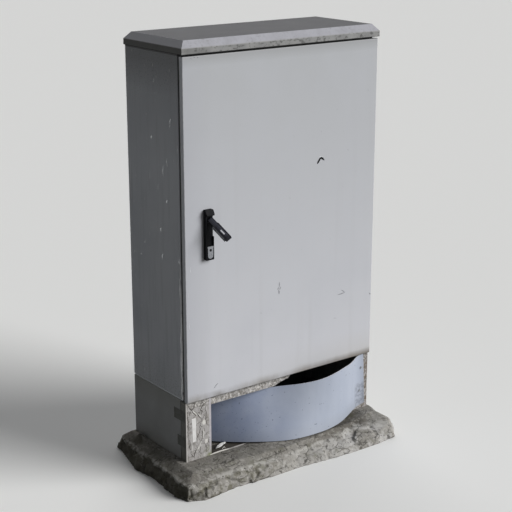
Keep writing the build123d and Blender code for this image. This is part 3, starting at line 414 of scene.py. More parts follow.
def cover_paint():
    """Blue-grey coat on the thin cover sheet: freckled, rubbed at its right foot, painted bluer and darker
    to the left as painted shade, and its upward edge painted white as a painted highlight.
    """
    made, tree, place = blank("cover_powder_coat")
    facing = add(tree, "TexCoord", {}, "Normal")
    # Painted highlight: faces turned upwards are painted near-white.
    top_edge_highlight = fade(tree, facing, "Z", 0.5, 0.8)
    freckles = cloud(tree, place, 8, 0.745, 0.77, detail=1.0)
    splashes = meet(
        tree, cloud(tree, place, 5, 0.7, 0.73, detail=1.0), fade(tree, place, "X", 0.0, -150 * MM),
    )
    runs = cloud(tree, place, 24, 0.45, 0.8, stretch=(1, 1, 0.12))
    right_end = meet(
        tree, fade(tree, place, "X", cover_right - 57 * MM, cover_right - 41 * MM),
        fade(tree, place, "Z", ground + 100 * MM, ground + 85 * MM),
    )
    rubbed = meet(tree, right_end, scrawl(tree, place, 20, 0.12))
    colour = layers(
        tree, "#a6adbb",
        # Painted shade: the sheet is painted bluer and darker towards its left.
        ("#8891a6", fade(tree, place, "X", 70 * MM, -30 * MM), 0.7),
        ("#6a7ba1", fade(tree, place, "X", -30 * MM, window_left + 30 * MM), 0.65),
        ("#b0b6c2", cloud(tree, place, 90, 0.4, 0.7), 0.35),
        ("#8d96a6", runs, 0.22),
        ("#8b8f94", fade(tree, place, "Z", ground + 50 * MM, ground + 10 * MM), 0.3),
        ("#8e919a", right_end, 0.3),
        ("#666b75", rubbed, 0.55),
        ("#4f5560", freckles, 0.75),
        ("#4a5064", splashes, 0.6),
        ("#f2f3f4", top_edge_highlight, 0.9),
    )
    surface(tree, colour, 0.45, orange_peel(tree, place), relief=0.1, **{"Specular IOR Level": 0.35})
    return made


def cast_concrete():
    """Weathered cast concrete: skin worn off the grit, pores, cracks, damp and moss; painted shade on faces
    turned left or down, in creases and under the cover sheet, and pale arrises and ridge that are partly
    wear, partly painted highlight.
    """
    made, tree, place = blank("cast_concrete")
    facing = add(tree, "TexCoord", {}, "Normal")
    edge = edge_z * MM
    upward = fade(tree, place, "Z", edge - 4 * MM, edge + 2 * MM)
    # Partly wear, partly painted highlight: the broken edge is painted paler.
    ridge = meet(
        tree, fade(tree, place, "Z", edge - 7 * MM, edge - 2 * MM),
        fade(tree, place, "Z", edge + 6 * MM, edge + 2 * MM),
        cloud(tree, place, 25, 0.42, 0.55, shift=(4, 4, 0)),
    )
    leftward = fade(tree, facing, "X", -0.25, -0.7)
    downward = fade(tree, facing, "Z", 0.1, -0.3)
    bent = add(tree, "NewGeometry", {}, "Pointiness")
    # Partly wear, partly painted highlight: convex arrises are painted paler.
    arris = add(tree, "MapRange", [bent, 0.53, 0.62, 0.0, 1.0])
    # Painted shade: hollows and creases are painted darker.
    crease = add(tree, "MapRange", [bent, 0.48, 0.4, 0.0, 1.0])
    grit = add(tree, "TexVoronoi", {"Vector": place, "Scale": 1 / (7 * MM)}, "Color")
    stones = add(tree, "MapRange", [add(tree, "SeparateColor", [grit], 0), 0.72, 0.8, 0.0, 1.0])
    grime = meet(
        tree, cloud(tree, place, 22, 0.45, 0.58, detail=6.0, shift=(6, 1, 3)),
        fade(tree, place, "X", -20 * MM, -200 * MM),
    )
    pores = cloud(tree, place, 8, 0.36, 0.31, detail=3.0)
    mottle = cloud(tree, place, 30, 0.42, 0.58, shift=(2, 5, 8))
    fine = cloud(tree, place, 3, 0.35, 0.65, detail=8.0)
    damp = cloud(tree, place, 90, 0.48, 0.62)
    skin = meet(
        tree, cloud(tree, place, 50, 0.47, 0.53, shift=(5, 2, 0)),
        fade(tree, place, "X", -150 * MM, 200 * MM),
    )
    moss = cloud(tree, place, 30, 0.56, 0.66, detail=8.0, shift=(0, 9, 0))
    slanted = add(tree, "Mapping", {"Vector": place, "Rotation": (0.3, 0.5, 0.4), "Scale": (0.55, 1, 1.3)})
    wander = add(tree, "TexNoise", {"Vector": place, "Scale": 1 / (9 * MM), "Detail": 3.0}, "Color")
    slanted = add(tree, "Mix", {"Factor": 0.006, "A": slanted, "B": wander}, data_type="VECTOR")
    facets = {"Vector": slanted, "Scale": 1 / (28 * MM)}
    apart = add(tree, "TexVoronoi", facets, "Distance", feature="DISTANCE_TO_EDGE")
    facet = add(tree, "SeparateColor", [add(tree, "TexVoronoi", facets, "Color")], 0)
    cracks = meet(
        tree, add(tree, "MapRange", [apart, 0.0, 0.05, 1.0, 0.0]), cloud(tree, place, 40, 0.5, 0.55),
    )
    scratches = meet(
        tree, scrawl(tree, place, 18, 0.07, shift=(7, 3, 1)), cloud(tree, place, 24, 0.56, 0.59),
    )
    # Painted shade: the pad's top under the cover sheet's right part is painted darker.
    shade_under_sheet = meet(
        tree, upward, fade(tree, place, "Y", -95 * MM, -60 * MM),
        fade(tree, place, "X", 0.0, 120 * MM), fade(tree, place, "X", 350 * MM, 300 * MM),
    )
    colour = layers(
        tree, "#aca9a4",
        ("#88857f", facet, 0.35),
        ("#85827c", mottle, 0.3),
        ("#75726b", fine, 0.2),
        ("#6a675f", damp, 0.4),
        ("#c2c0bd", skin, 0.7),
        ("#55523f", grime, 0.65),
        ("#827f79", upward, 0.8),
        ("#716d67", upward, damp, 0.5),
        ("#57534c", shade_under_sheet, 0.7),
        ("#c4c1ba", stones, 0.2),
        ("#5d5d4a", moss, 0.4),
        # Painted shade: faces turned to the left are painted darker.
        ("#454338", leftward, 0.8),
        ("#c9c7c2", arris, 0.3),
        ("#c6c4bf", ridge, 0.5),
        # Painted shade: faces turned downwards are painted darker.
        ("#4a483f", downward, 0.6),
        ("#34322d", crease, 0.4),
        ("#45433e", scratches, 0.6),
        ("#33312d", cracks, 0.8),
        ("#3c3a35", pores, 0.8),
    )
    rugged = add(tree, "Math", [fine, pores], operation="SUBTRACT")
    height = add(tree, "Math", [rugged, cracks], operation="SUBTRACT")
    surface(tree, colour, 0.95, height, relief=0.9, **{"Specular IOR Level": 0.2})
    return made


def galvanised():
    """Hot-dip zinc: grey metal with spangles about 12 mm across, each a little brighter or duller."""
    made, tree, place = blank("galvanised_steel")
    cells = add(tree, "TexVoronoi", {"Vector": place, "Scale": 1 / (12 * MM)}, "Color")
    tone = add(tree, "SeparateColor", [cells], 0)
    colour = layers(
        tree, "#a8acb0",
        ("#8f9498", tone, 0.5),
        ("#bcbdba", cloud(tree, place, 30, 0.5, 0.8), 0.4),
    )
    rough = add(tree, "MapRange", [tone, 0.0, 1.0, 0.38, 0.55])
    surface(tree, colour, rough, Metallic=1.0)
    return made


def moulded(name, hue, worn, size, roughness, relief=0.05, gloss=0.5):
    """A moulded or cast skin in one hue, a little uneven, with dust or wear in soft patches."""
    made, tree, place = blank(name)
    patches = cloud(tree, place, size, 0.4, 0.75)
    grain = add(tree, "TexNoise", {"Vector": place, "Scale": 1 / (1.2 * MM), "Detail": 3.0})
    colour = layers(tree, hue, (worn, patches, 0.6))
    rough = add(tree, "MapRange", [patches, 0.0, 1.0, roughness, roughness + 0.15])
    surface(tree, colour, rough, grain, relief=relief, **{"Specular IOR Level": gloss})
    return made


def bare_metal(name, hue, tarnish, size, roughness):
    """Solid metal with a brushed or drawn surface and tarnish in patches."""
    made, tree, place = blank(name)
    patches = cloud(tree, place, size, 0.42, 0.7, detail=6.0)
    lines = add(tree, "Mapping", {"Vector": place, "Scale": (0.03, 1, 1)})
    brushed = add(tree, "TexNoise", {"Vector": lines, "Scale": 1 / (0.6 * MM), "Detail": 2.0})
    colour = layers(tree, hue, (tarnish, patches, 0.6))
    rough = add(tree, "MapRange", [patches, 0.0, 1.0, roughness, roughness + 0.2])
    surface(tree, colour, rough, brushed, relief=0.03, Metallic=1.0)
    return made


def worn_lever():
    """Black epoxy on a zinc casting, rubbed to grey on its outer face, with a broken pale line along one
    edge that is a painted highlight.
    """
    made, tree, place = blank("worn_black_epoxy")
    sideways = add(tree, "VectorMath", [place, lever_across], "Value", operation="DOT_PRODUCT")
    middle = lever_pivot.dot(lever_across)
    rubbed = add(tree, "MapRange", [sideways, middle - 11 * MM, middle + 4 * MM, 0.0, 1.0])
    # Painted highlight: a broken pale line along the lever's lower edge.
    edge = add(tree, "MapRange", [sideways, middle - 9.8 * MM, middle - 11 * MM, 0.0, 1.0])
    far_side = add(tree, "MapRange", [sideways, middle + 6 * MM, middle + 8 * MM, 0.0, 1.0])
    groove_spacing = 4.488 * MM
    grooves = add(tree, "Math", [sideways, 2 * math.pi / groove_spacing], **TIMES)
    grooves = add(tree, "Math", [grooves], operation="SINE")
    groove_crests = add(tree, "MapRange", [grooves, 0.2, 0.9, 0.0, 1.0])
    lengthways = add(tree, "VectorMath", [place, lever_along], "Value", operation="DOT_PRODUCT")
    root = lever_pivot.dot(lever_along)
    tip = add(tree, "MapRange", [lengthways, root + 66 * MM, root + 72 * MM, 0.0, 1.0])
    colour = layers(
        tree, "#0c0d11",
        ("#363740", rubbed, 0.65),
        ("#565863", groove_crests, rubbed, 0.4),
        ("#26272d", cloud(tree, place, 9, 0.45, 0.7), 0.3),
        ("#0b0c10", far_side, 0.85),
        ("#15161a", tip, 0.7),
        ("#8a8c90", edge, cloud(tree, place, 20, 0.35, 0.5)),
    )
    surface(tree, colour, 0.6, grooves, relief=0.08, **{"Specular IOR Level": 0.12})
    return made


concrete = cast_concrete()
door_coat = door_paint()
wall_coat = side_paint()
roof_coat = roof_paint()
plinth_coat = plinth_paint()
cover_coat = cover_paint()
worn_black = worn_lever()
zinc = galvanised()

# Metals: patches of tarnish break up their shine, which is sharpest on copper and dullest on scraped steel.
chrome = bare_metal("worn_chrome_plate", "#97999e", "#55575b", 5, 0.32)
copper = bare_metal("drawn_copper", "#c98a63", "#8a5a3f", 40, 0.28)
brass = bare_metal("cast_brass", "#c8ab62", "#8f7a45", 25, 0.3)
screw_zinc = bare_metal("yellow_zinc_screw", "#b9ac86", "#8d866e", 5, 0.35)
bared_steel = bare_metal("scraped_to_steel", "#c4c6c8", "#8f9193", 5, 0.4)

# Rubber and plastics: even matt colours with a little dust on them.
rubber = moulded("epdm_rubber", "#1b1c1d", "#2e2e2d", 40, 0.7)
pocket_plastic = moulded("polystyrene_grey", "#b9b9b3", "#a7a69e", 60, 0.45)
breaker_grey = moulded("polyamide_light_grey", "#c8cac8", "#b8b9b4", 30, 0.4)
toggle_black = moulded("polyamide_black", "#1d1e20", "#2b2c2e", 12, 0.42)
insulator = moulded("polyester_resin_red", "#7a3124", "#8d4535", 20, 0.5)
label_film = moulded("faded_label_film", "#b7b8bd", "#9d9ea4", 4, 0.5)

# Coated, oxidised or soiled metal: dull, with hardly a highlight.
black_coat = moulded("black_epoxy_on_zinc", "#08090c", "#14151a", 14, 0.55, gloss=0.1)
plug_steel = moulded("oxidised_plug_steel", "#0c0c0e", "#1a1a1c", 4, 0.6, gloss=0.2)
clip_steel = moulded("soiled_clip_plate", "#6b6c69", "#57584f", 14, 0.75, gloss=0.2)

# Marks on the coats: paper, glue, pen lines, scratches, smears and scuffs, all dry and matt.
paper = moulded("weathered_paper", "#dad9d7", "#c3c1be", 12, 0.85, gloss=0.2)
dried_glue = moulded("dried_glue", "#cfcdc8", "#b4b1aa", 8, 0.6)
grimy_line = moulded("grimy_pen_line", "#4a4743", "#5e5a54", 8, 0.75, gloss=0.2)
dark_scratch = moulded("soiled_scratch", "#1b1b1d", "#262628", 8, 0.7, gloss=0.1)
faint_smear = moulded("faint_smear", "#8e8f93", "#838489", 8, 0.7, gloss=0.2)
bright_chip = moulded("bright_scuffed_coat", "#d9dbde", "#b9bbbf", 6, 0.6)

coats = {
    door_coat: ["door_skin"],
    wall_coat: ["side_panel_left", "side_panel_right", "back_panel", "front_frame"],
    roof_coat: ["roof_cap"],
    plinth_coat: ["plinth_front_frame", "plinth_side_left", "plinth_side_right", "plinth_back"],
    cover_coat: ["plinth_cover_sheet"],
    clip_steel: ["plinth_clips"],
    concrete: ["concrete_base"],
    rubber: ["door_gasket", "cable_grommets"],
    pocket_plastic: ["document_pocket"],
    black_coat: ["handle_base", "handle_spindle"],
    worn_black: ["handle_lever"],
    plug_steel: ["lock_plug"],
    chrome: ["lock_face", "lever_pin"],
    breaker_grey: ["main_breaker", "branch_breakers", "terminal_strip"],
    toggle_black: ["main_toggle"] + [f"branch_toggle_{n}" for n in (1, 2, 3, 4)],
    copper: ["busbars", "earth_bar"],
    brass: ["neutral_bar"],
    insulator: ["busbar_supports", "bar_insulators"],
}
finish_of = {node: coat for coat, nodes in coats.items() for node in nodes}
for name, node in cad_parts.items():
    for place in node.material_slots:
        place.material = finish_of.get(name, zinc)


# --------------------------------------------------------------------- pieces
def stand(name, content):
    """A new object for a mesh, lamp or camera, put into the scene."""
    made = bpy.data.objects.new(name, content)
    bpy.context.scene.collection.objects.link(made)
    return made


def piece(name, bm, material, body="cabinet", smooth=False):
    """Makes an object of a finished bmesh, paints it, and rides it on its body."""
    mesh = bpy.data.meshes.new(name)
    bm.to_mesh(mesh)
    bm.free()
    for face in mesh.polygons:
        face.use_smooth = smooth
    mesh.materials.append(material)
    made = stand(name, mesh)
    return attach(made, body)


def corners_of(geom):
    """The vertices among the geometry that an operator hands back."""
    return [item for item in geom if isinstance(item, bmesh.types.BMVert)]


def thicken(bm, faces, offset):
    """Extrudes faces by an offset."""
    top = bmesh.ops.extrude_face_region(bm, geom=faces)["geom"]
    bmesh.ops.translate(bm, verts=corners_of(top), vec=offset)


def on_front(x, z, y=0.0):
    """A point on an upright face: x from the cabinet's middle and z above the pad, in mm."""
    return Vector((x * MM, y, ground + z * MM))


def on_side(y, z):
    """A point on the left wall: y back from the door's face and z above the pad, in mm."""
    return Vector((side_low.x, y * MM, ground + z * MM))


def stroke(bm, points, width, out, thickness=0.25 * MM):
    """A flat tapered stroke along points, lying on a face whose outward direction is out."""
    clear = 0.1 * MM
    tip_share = 0.35
    chain = [bm.verts.new(p + out * clear) for p in points]
    edges = [bm.edges.new(pair) for pair in zip(chain, chain[1:])]
    made = bmesh.ops.extrude_edge_only(bm, edges=edges)["geom"]
    faces = [f for f in made if isinstance(f, bmesh.types.BMFace)]
    last = len(points) - 1
    for number, (vert, copy) in enumerate(zip(chain, corners_of(made))):
        before = points[max(number - 1, 0)]
        after = points[min(number + 1, last)]
        across = (after - before).cross(out).normalized()
        share = tip_share if number in (0, last) else 1.0
        vert.co -= across * width * share / 2
        copy.co += across * width * share / 2
    thicken(bm, faces, out * thickness)


def marks(name, strokes, out, material, body="cabinet"):
    """A group of strokes on one face, as one piece."""
    bm = bmesh.new()
    for width, points in strokes:
        stroke(bm, points, width * MM, out)
    bmesh.ops.recalc_face_normals(bm, faces=bm.faces)
    return piece(name, bm, material, body)


def patch(bm, corners, out, thickness=0.3 * MM):
    """A thin flat patch through its corners, standing a little proud of its face."""
    face = bm.faces.new([bm.verts.new(c) for c in corners])
    thicken(bm, [face], out * thickness)


towards_door = Vector((0, -1, 0))
towards_left = Vector((-1, 0, 0))
post_y = post_low.y


def door_marks():
    """Marks on the door's face: dark scratches, faint smears and specks, and pale chips."""
    def at(*pairs):
        return [on_front(x, z) for x, z in pairs]

    dark = [
        (6.5, at((131, 892), (134, 896), (138, 901), (142, 907), (147, 909), (153, 906), (160, 900))),
        (2.6, at((-321, 1265), (-320, 1262))),
        (2.0, at((-345, 1263), (-343, 1261))),
        (2.4, at((-334, 1267), (-332, 1264))),
        (2.0, at((-92, 441), (-90, 438))),
        (2.0, at((366, 417), (370, 411), (373, 413))),
        (1.5, at((-275, 230), (-268, 237), (-260, 243))),
    ]
    faint = [
        (3.4, at((-18, 528), (-18, 520), (-19, 512))),
        (4.0, at((-20, 511), (-23, 508), (-25, 504))),
        (3.6, at((-12, 512), (-15, 507), (-17, 503))),
        (5.5, at((-21, 502), (-19, 496), (-19, 489))),
        (3.4, at((227, 437), (242, 438), (258, 440))),
        (3.0, at((256, 441), (250, 446), (242, 451))),
        (2.4, at((211, 359), (222, 357))),
        (2.4, at((-45, 706), (-43, 703))),
        (2.0, at((239, 805), (241, 803))),
        (2.0, at((21, 798), (23, 795))),
        (2.2, at((188, 636), (190, 634))),
        (2.0, at((-338, 223), (-334, 221))),
        (1.8, at((337, 1108), (340, 1104))),
        (1.8, at((36, 993), (37, 991))),
        (1.8, at((145, 996), (146, 993))),
        (2.2, at((258, 922), (260, 919))),
        (1.8, at((209, 1060), (210, 1056))),
    ]
    pale = [
        (2.4, at((136, 912), (146, 914), (154, 911))),
        (2.0, at((143, 899), (150, 895))),
        (1.4, at((234, 449), (246, 446))),
        (1.4, at((-356, 640), (-357, 628), (-355, 619))),
        (1.4, at((-366, 560), (-367, 545))),
        (1.6, at((-362, 470), (-364, 452), (-362, 440))),
    ]
    marks("door_scratches", dark, towards_door, dark_scratch, "door")
    marks("door_smears", faint, towards_door, faint_smear, "door")
    marks("door_chips", pale, towards_door, bright_chip, "door")


def wall_marks():
    """Short pale scuffs on the left wall, and the bright wear along its front fold."""
    def at(*pairs):
        return [on_side(y, z) for y, z in pairs]

    scuffs = [
        (3.5, at((170, 1018), (174, 1010), (173, 1004))),
        (3.0, at((67, 1064), (71, 1056))),
        (2.4, at((64, 1082), (69, 1074), (67, 1066))),
        (4.0, at((91, 832), (95, 826), (93, 821))),
        (5.0, at((127, 739), (132, 732), (130, 724))),
        (3.0, at((222, 675), (226, 669))),
        (4.5, at((246, 630), (250, 624))),
        (3.5, at((121, 658), (126, 648), (124, 638))),
        (2.6, at((285, 630), (289, 622))),
        (2.6, at((251, 458), (254, 449))),
        (2.2, at((150, 1190), (155, 1178))),
        (2.0, at((110, 934), (113, 915), (111, 902))),
        (2.0, at((140, 872), (143, 855))),
        (1.8, at((185, 905), (187, 880))),
        (1.8, at((88, 960), (90, 948), (87, 936))),
    ]
    bright_fold = [
        (3.0, at((32, 997), (33, 987))),
        (3.4, at((32, 662), (33, 651), (32, 644))),
        (2.2, at((32, 600), (31.6, 560), (32, 540))),
        (2.6, at((32, 430), (31.6, 400), (32, 372))),
        (3.4, at((32, 362), (31.8, 330), (32, 300), (31.6, 276))),
        (2.6, at((32, 268), (31.8, 240), (32, 214))),
    ]
    marks("wall_scuffs", scuffs, towards_left, bared_steel)
    marks("fold_wear", bright_fold, towards_left, bared_steel)


def post_marks():
    """What is scribbled and stuck on the left post: scrawls, glue and paper, and the chips on the sill."""
    def at(*pairs):
        return [on_front(x, z, post_y) for x, z in pairs]

    scrawls = [
        (2.6, at((-367, 191), (-360, 178), (-352, 172), (-345, 180), (-343, 192), (-350, 195))),
        (2.0, at((-366, 172), (-358, 163), (-355, 175), (-347, 160), (-338, 150))),
        (2.2, at((-345, 168), (-335, 158), (-327, 146), (-322, 140))),
        (3.2, at(
            (-322, 184), (-313, 189), (-306, 182), (-315, 174), (-320, 165), (-314, 158), (-318, 148),
        )),
        (1.8, at((-369, 160), (-367, 128), (-369, 92), (-366, 60))),
        (2.4, at((-364, 76), (-361, 60), (-364, 48), (-359, 38))),
        (2.6, at((-360, 30), (-353, 16), (-347, 10), (-345, 22), (-338, 34), (-333, 30))),
        (1.8, at((-341, 62), (-333, 78), (-326, 88), (-322, 101), (-326, 112))),
        (1.8, at((-320, 122), (-323, 114), (-317, 106), (-311, 108))),
        (1.6, at((-316, 94), (-312, 84), (-316, 76), (-312, 66))),
        (1.6, at((-327, 46), (-321, 34), (-326, 22), (-318, 14))),
        (1.5, at((-303, 170), (-298, 150), (-301, 130), (-297, 112))),
        (1.5, at((-304, 40), (-297, 28), (-301, 16))),
    ]
    glue = [
        (6.5, at((-353, 170), (-336, 157), (-318, 141))),
        (4.5, at((-317, 58), (-327, 42), (-338, 25))),
        (4.0, at((-310, 97), (-309, 84), (-311, 66))),
        (2.5, at((-356, 60), (-352, 44), (-355, 30))),
        (2.5, at((-344, 52), (-340, 40))),
    ]
    marks("post_scrawls", scrawls, towards_door, grimy_line)
    marks("post_glue", glue, towards_door, dried_glue)

    blob = bmesh.new()
    corners = at((-315, 121), (-311, 129), (-303, 127), (-301, 116), (-306, 110), (-313, 113))
    patch(blob, corners, towards_door)
    patch(blob, at((-304, 60), (-294, 60), (-294, 47), (-305, 46)), towards_door, 0.2 * MM)
    piece("post_glue_blobs", blob, dried_glue)

    strip = bmesh.new()
    corners = at(
        (-353.5, 142), (-339, 143), (-337.5, 122), (-338.5, 96), (-337, 63), (-351, 62), (-352, 99),
    )
    patch(strip, corners, towards_door, 0.35 * MM)
    piece("post_paper_strip", strip, paper)

    sill = [
        (4.2, at((-286, 1.6), (-268, 3.0), (-244, 3.6), (-226, 3.0), (-212, 2.2))),
        (2.4, at((-240, 9), (-231, 14), (-226, 10))),
    ]
    marks("sill_chips", sill, towards_door, dried_glue)


def window_flake():
    """A curl of old paint on the sill, inside the window and right of the left post."""
    left, length = -250, 47
    front, slant = 30, 12
    sill_top, rise, curl = 5.5, 6, 4
    narrow, belly = 4, 8
    bm = bmesh.new()
    bmesh.ops.create_grid(bm, x_segments=8, y_segments=4, size=0.5)
    for vert in bm.verts:
        u, v = vert.co.x + 0.5, vert.co.y + 0.5
        arch = math.sin(math.pi * u)
        ragged = 2.2 * noise.noise(Vector((u * 5, v * 3, 3)))
        vert.co = Vector((
            (left + length * u) * MM,
            (front + slant * u + (narrow + belly * arch) * (v - 0.5) + ragged) * MM,
            ground + (sill_top + curl * arch * v + rise * u + ragged) * MM,
        ))
    bmesh.ops.solidify(bm, geom=bm.faces[:], thickness=0.6 * MM)
    bmesh.ops.recalc_face_normals(bm, faces=bm.faces)
    piece("sill_paint_curl", bm, paper, smooth=True)


def placed(at, out, roll=0.0):
    """The matrix that stands a shape on a face, turned about the face's outward direction."""
    upright = out.to_track_quat("Z", "Y").to_matrix().to_4x4()
    return Matrix.Translation(at) @ upright @ Matrix.Rotation(roll, 4, "Z")


def screw_heads(name, places, radius, material=screw_zinc):
    """Slotted cheese heads facing the door: a disc with two half-discs on it that leave the slot open."""
    bm = bmesh.new()
    slot_half = radius * 0.13
    bmesh.ops.create_circle(bm, cap_ends=True, segments=14, radius=radius)
    for side in (-1, 1):
        bmesh.ops.bisect_plane(
            bm, geom=bm.verts[:] + bm.edges[:] + bm.faces[:],
            plane_co=(0, side * slot_half, 0), plane_no=(0, 1, 0),
        )
    thicken(bm, [f for f in bm.faces if f.normal.z > 0.5], (0, 0, 0.25 * radius))
    bm.normal_update()
    halves = [f for f in bm.faces if f.normal.z > 0.5 and abs(f.calc_center_median().y) > slot_half]
    thicken(bm, halves, (0, 0, 0.35 * radius))
    bm.normal_update()
    head = bm.verts[:] + bm.edges[:] + bm.faces[:]
    for at in places:
        copy = bmesh.ops.duplicate(bm, geom=head)["geom"]
        turned = placed(at, towards_door, random.uniform(0, math.pi))
        bmesh.ops.transform(bm, matrix=turned, verts=corners_of(copy))
    bmesh.ops.delete(bm, geom=corners_of(head), context="VERTS")
    return piece(name, bm, material)


def gear_screws():
    """The clamping screws of the breakers, terminals and bars, and the cover sheet's two screws."""
    poles = [x + pole for x in (-150, -50, 50, 150) for pole in (-18, 0, 18)]
    terminals = [(n - 6.5) * 10 for n in range(14)]
    neutral = [(n - 3.5) * 40 for n in range(8)]
    earth = [(n - 3) * 48 for n in range(7)]
    # Piece, node, places across and up from the node's middle, depth behind its front, and radius, in mm.
    for name, node, across, upward, depth, radius in (
        ("main_breaker_screws", "main_breaker", (-35, 0, 35), (-68, 68), 24.2, 6),
        ("branch_breaker_screws", "branch_breakers", poles, (-32, 32), 20.2, 3.4),
        ("terminal_screws", "terminal_strip", terminals, (-8, 8), 6.1, 2.2),
        ("neutral_bar_screws", "neutral_bar", neutral, (0,), 0, 4.6),
        ("earth_bar_screws", "earth_bar", earth, (0,), 0, 6),
        ("busbar_screws", "busbars", (-200, 200), (-32, 0, 32), 0, 5.5),
    ):
        low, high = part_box(node)
        middle_z = (low.z + high.z) / 2
        places = [Vector((x * MM, low.y + depth * MM, middle_z + z * MM)) for x in across for z in upward]
        screw_heads(name, places, radius * MM)
    cover_face = post_y - 2.1 * MM
    places = [on_front(x, z, cover_face) for x, z in ((338, 67), (344, 150))]
    screw_heads("cover_screws", places, 4 * MM, zinc)


def lever_label():
    """The small faded film on the lever's spine, left blank."""
    from_pivot, off_middle, above = 53 * MM, 0.4 * MM, 7.2 * MM
    centre = lever_pivot + lever_along * from_pivot - lever_across * off_middle + lever_out * above
    half_long = lever_along * 8.5 * MM
    half_wide = lever_across * 2.4 * MM
    corners = [centre + half_long * a + half_wide * c for a, c in ((-1, -1), (1, -1), (1, 1), (-1, 1))]
    bm = bmesh.new()
    patch(bm, corners, lever_out, 0.25 * MM)
    bmesh.ops.recalc_face_normals(bm, faces=bm.faces)
    piece("lever_film", bm, label_film, "handle_lever")


# The pad's outlines, in mm: at its foot, round the belly, along its broken edge and at its crown.
pad_foot = [
    (-453, -106), (-400, -132), (-273, -118), (-132, -127), (-36, -126), (80, -138), (193, -146),
    (297, -146), (376, -136), (421, -88), (419, 60), (412, 200), (406, 346), (240, 360), (0, 361),
    (-240, 358), (-417, 360), (-463, 175), (-450, 91), (-465, -55),
]
pad_belly = [
    (-449, -104), (-396, -124), (-273, -112), (-132, -120), (-36, -119), (80, -126), (193, -132),
    (297, -134), (372, -130), (415, -84), (413, 60), (405, 200), (400, 344), (240, 355), (0, 356),
    (-240, 354), (-414, 356), (-452, 175), (-446, 91), (-462, -55),
]
pad_edge = [
    (-446, -104), (-333, -94), (-212, -99), (-67, -104), (91, -90), (212, -74), (300, -82),
    (376, -108), (402, -78), (394, -30), (402, 60), (398, 200), (392, 340), (240, 348), (0, 350),
    (-240, 350), (-405, 350), (-428, 300), (-430, 162), (-444, 0), (-453, -84),
]
pad_crown = [
    (-398, -60), (-300, -62), (-200, -74), (-60, -88), (90, -80), (200, -58), (300, -40),
    (372, -30), (384, 0), (386, 130), (384, 320), (0, 326), (-388, 322), (-392, 165), (-398, 0),
]


def ring(bm, points, height):
    """A closed chain of edges through points at one height, in mm."""
    verts = [bm.verts.new((x * MM, y * MM, height * MM)) for x, y in points]
    return [bm.edges.new((verts[i - 1], verts[i])) for i in range(len(verts))]


def mound(x, y, middle, spread):
    """A smooth bump, 1 high at its middle and falling off over its spread."""
    return math.exp(-((x - middle[0]) / spread[0]) ** 2 - ((y - middle[1]) / spread[1]) ** 2)


def pad_height_at(x, y):
    """How high the trowelled surface stands above or below its plain slope, in mm."""
    mortar = mound(x, y, (-60, -30), (130, 45))
    hollow = mound(x, y, (235, -30), (75, 40))
    lump = mound(x, y, (-394, 252), (12, 20))
    return 6.5 * mortar - 11 * hollow + 18 * lump


def fracture(at):
    """How far the broken wall stands out at a place: stepped faces with a crease between them, in mm."""
    cell_wide, cell_deep, cell_high = 46, 40, 24
    apart, cells = noise.voronoi(Vector((at.x / cell_wide, at.y / cell_deep, at.z / cell_high)))
    step = noise.noise(cells[0] * 3.7)
    crease = max(0.0, 1 - (apart[1] - apart[0]) * 4)
    broken = noise.fractal(at / 40, 1.0, 2.0, 4)
    pits = noise.ridged_multi_fractal(at / 15, 1.0, 2.0, 3, 1.0, 2.0)
    return 2.6 * broken + 8.0 * step - 1.6 * crease + 0.5 * (pits - 1.2)


def even_skin(pad, voxel):
    """The piece's mesh made over in even faces of one size, as a new bmesh."""
    remesh = pad.modifiers.new("even_skin", "REMESH")
    remesh.mode = "VOXEL"
    remesh.voxel_size = voxel
    bpy.context.view_layer.update()
    even = bpy.data.meshes.new_from_object(pad.evaluated_get(bpy.context.evaluated_depsgraph_get()))
    pad.modifiers.remove(remesh)
    bm = bmesh.new()
    bm.from_mesh(even)
    return bm


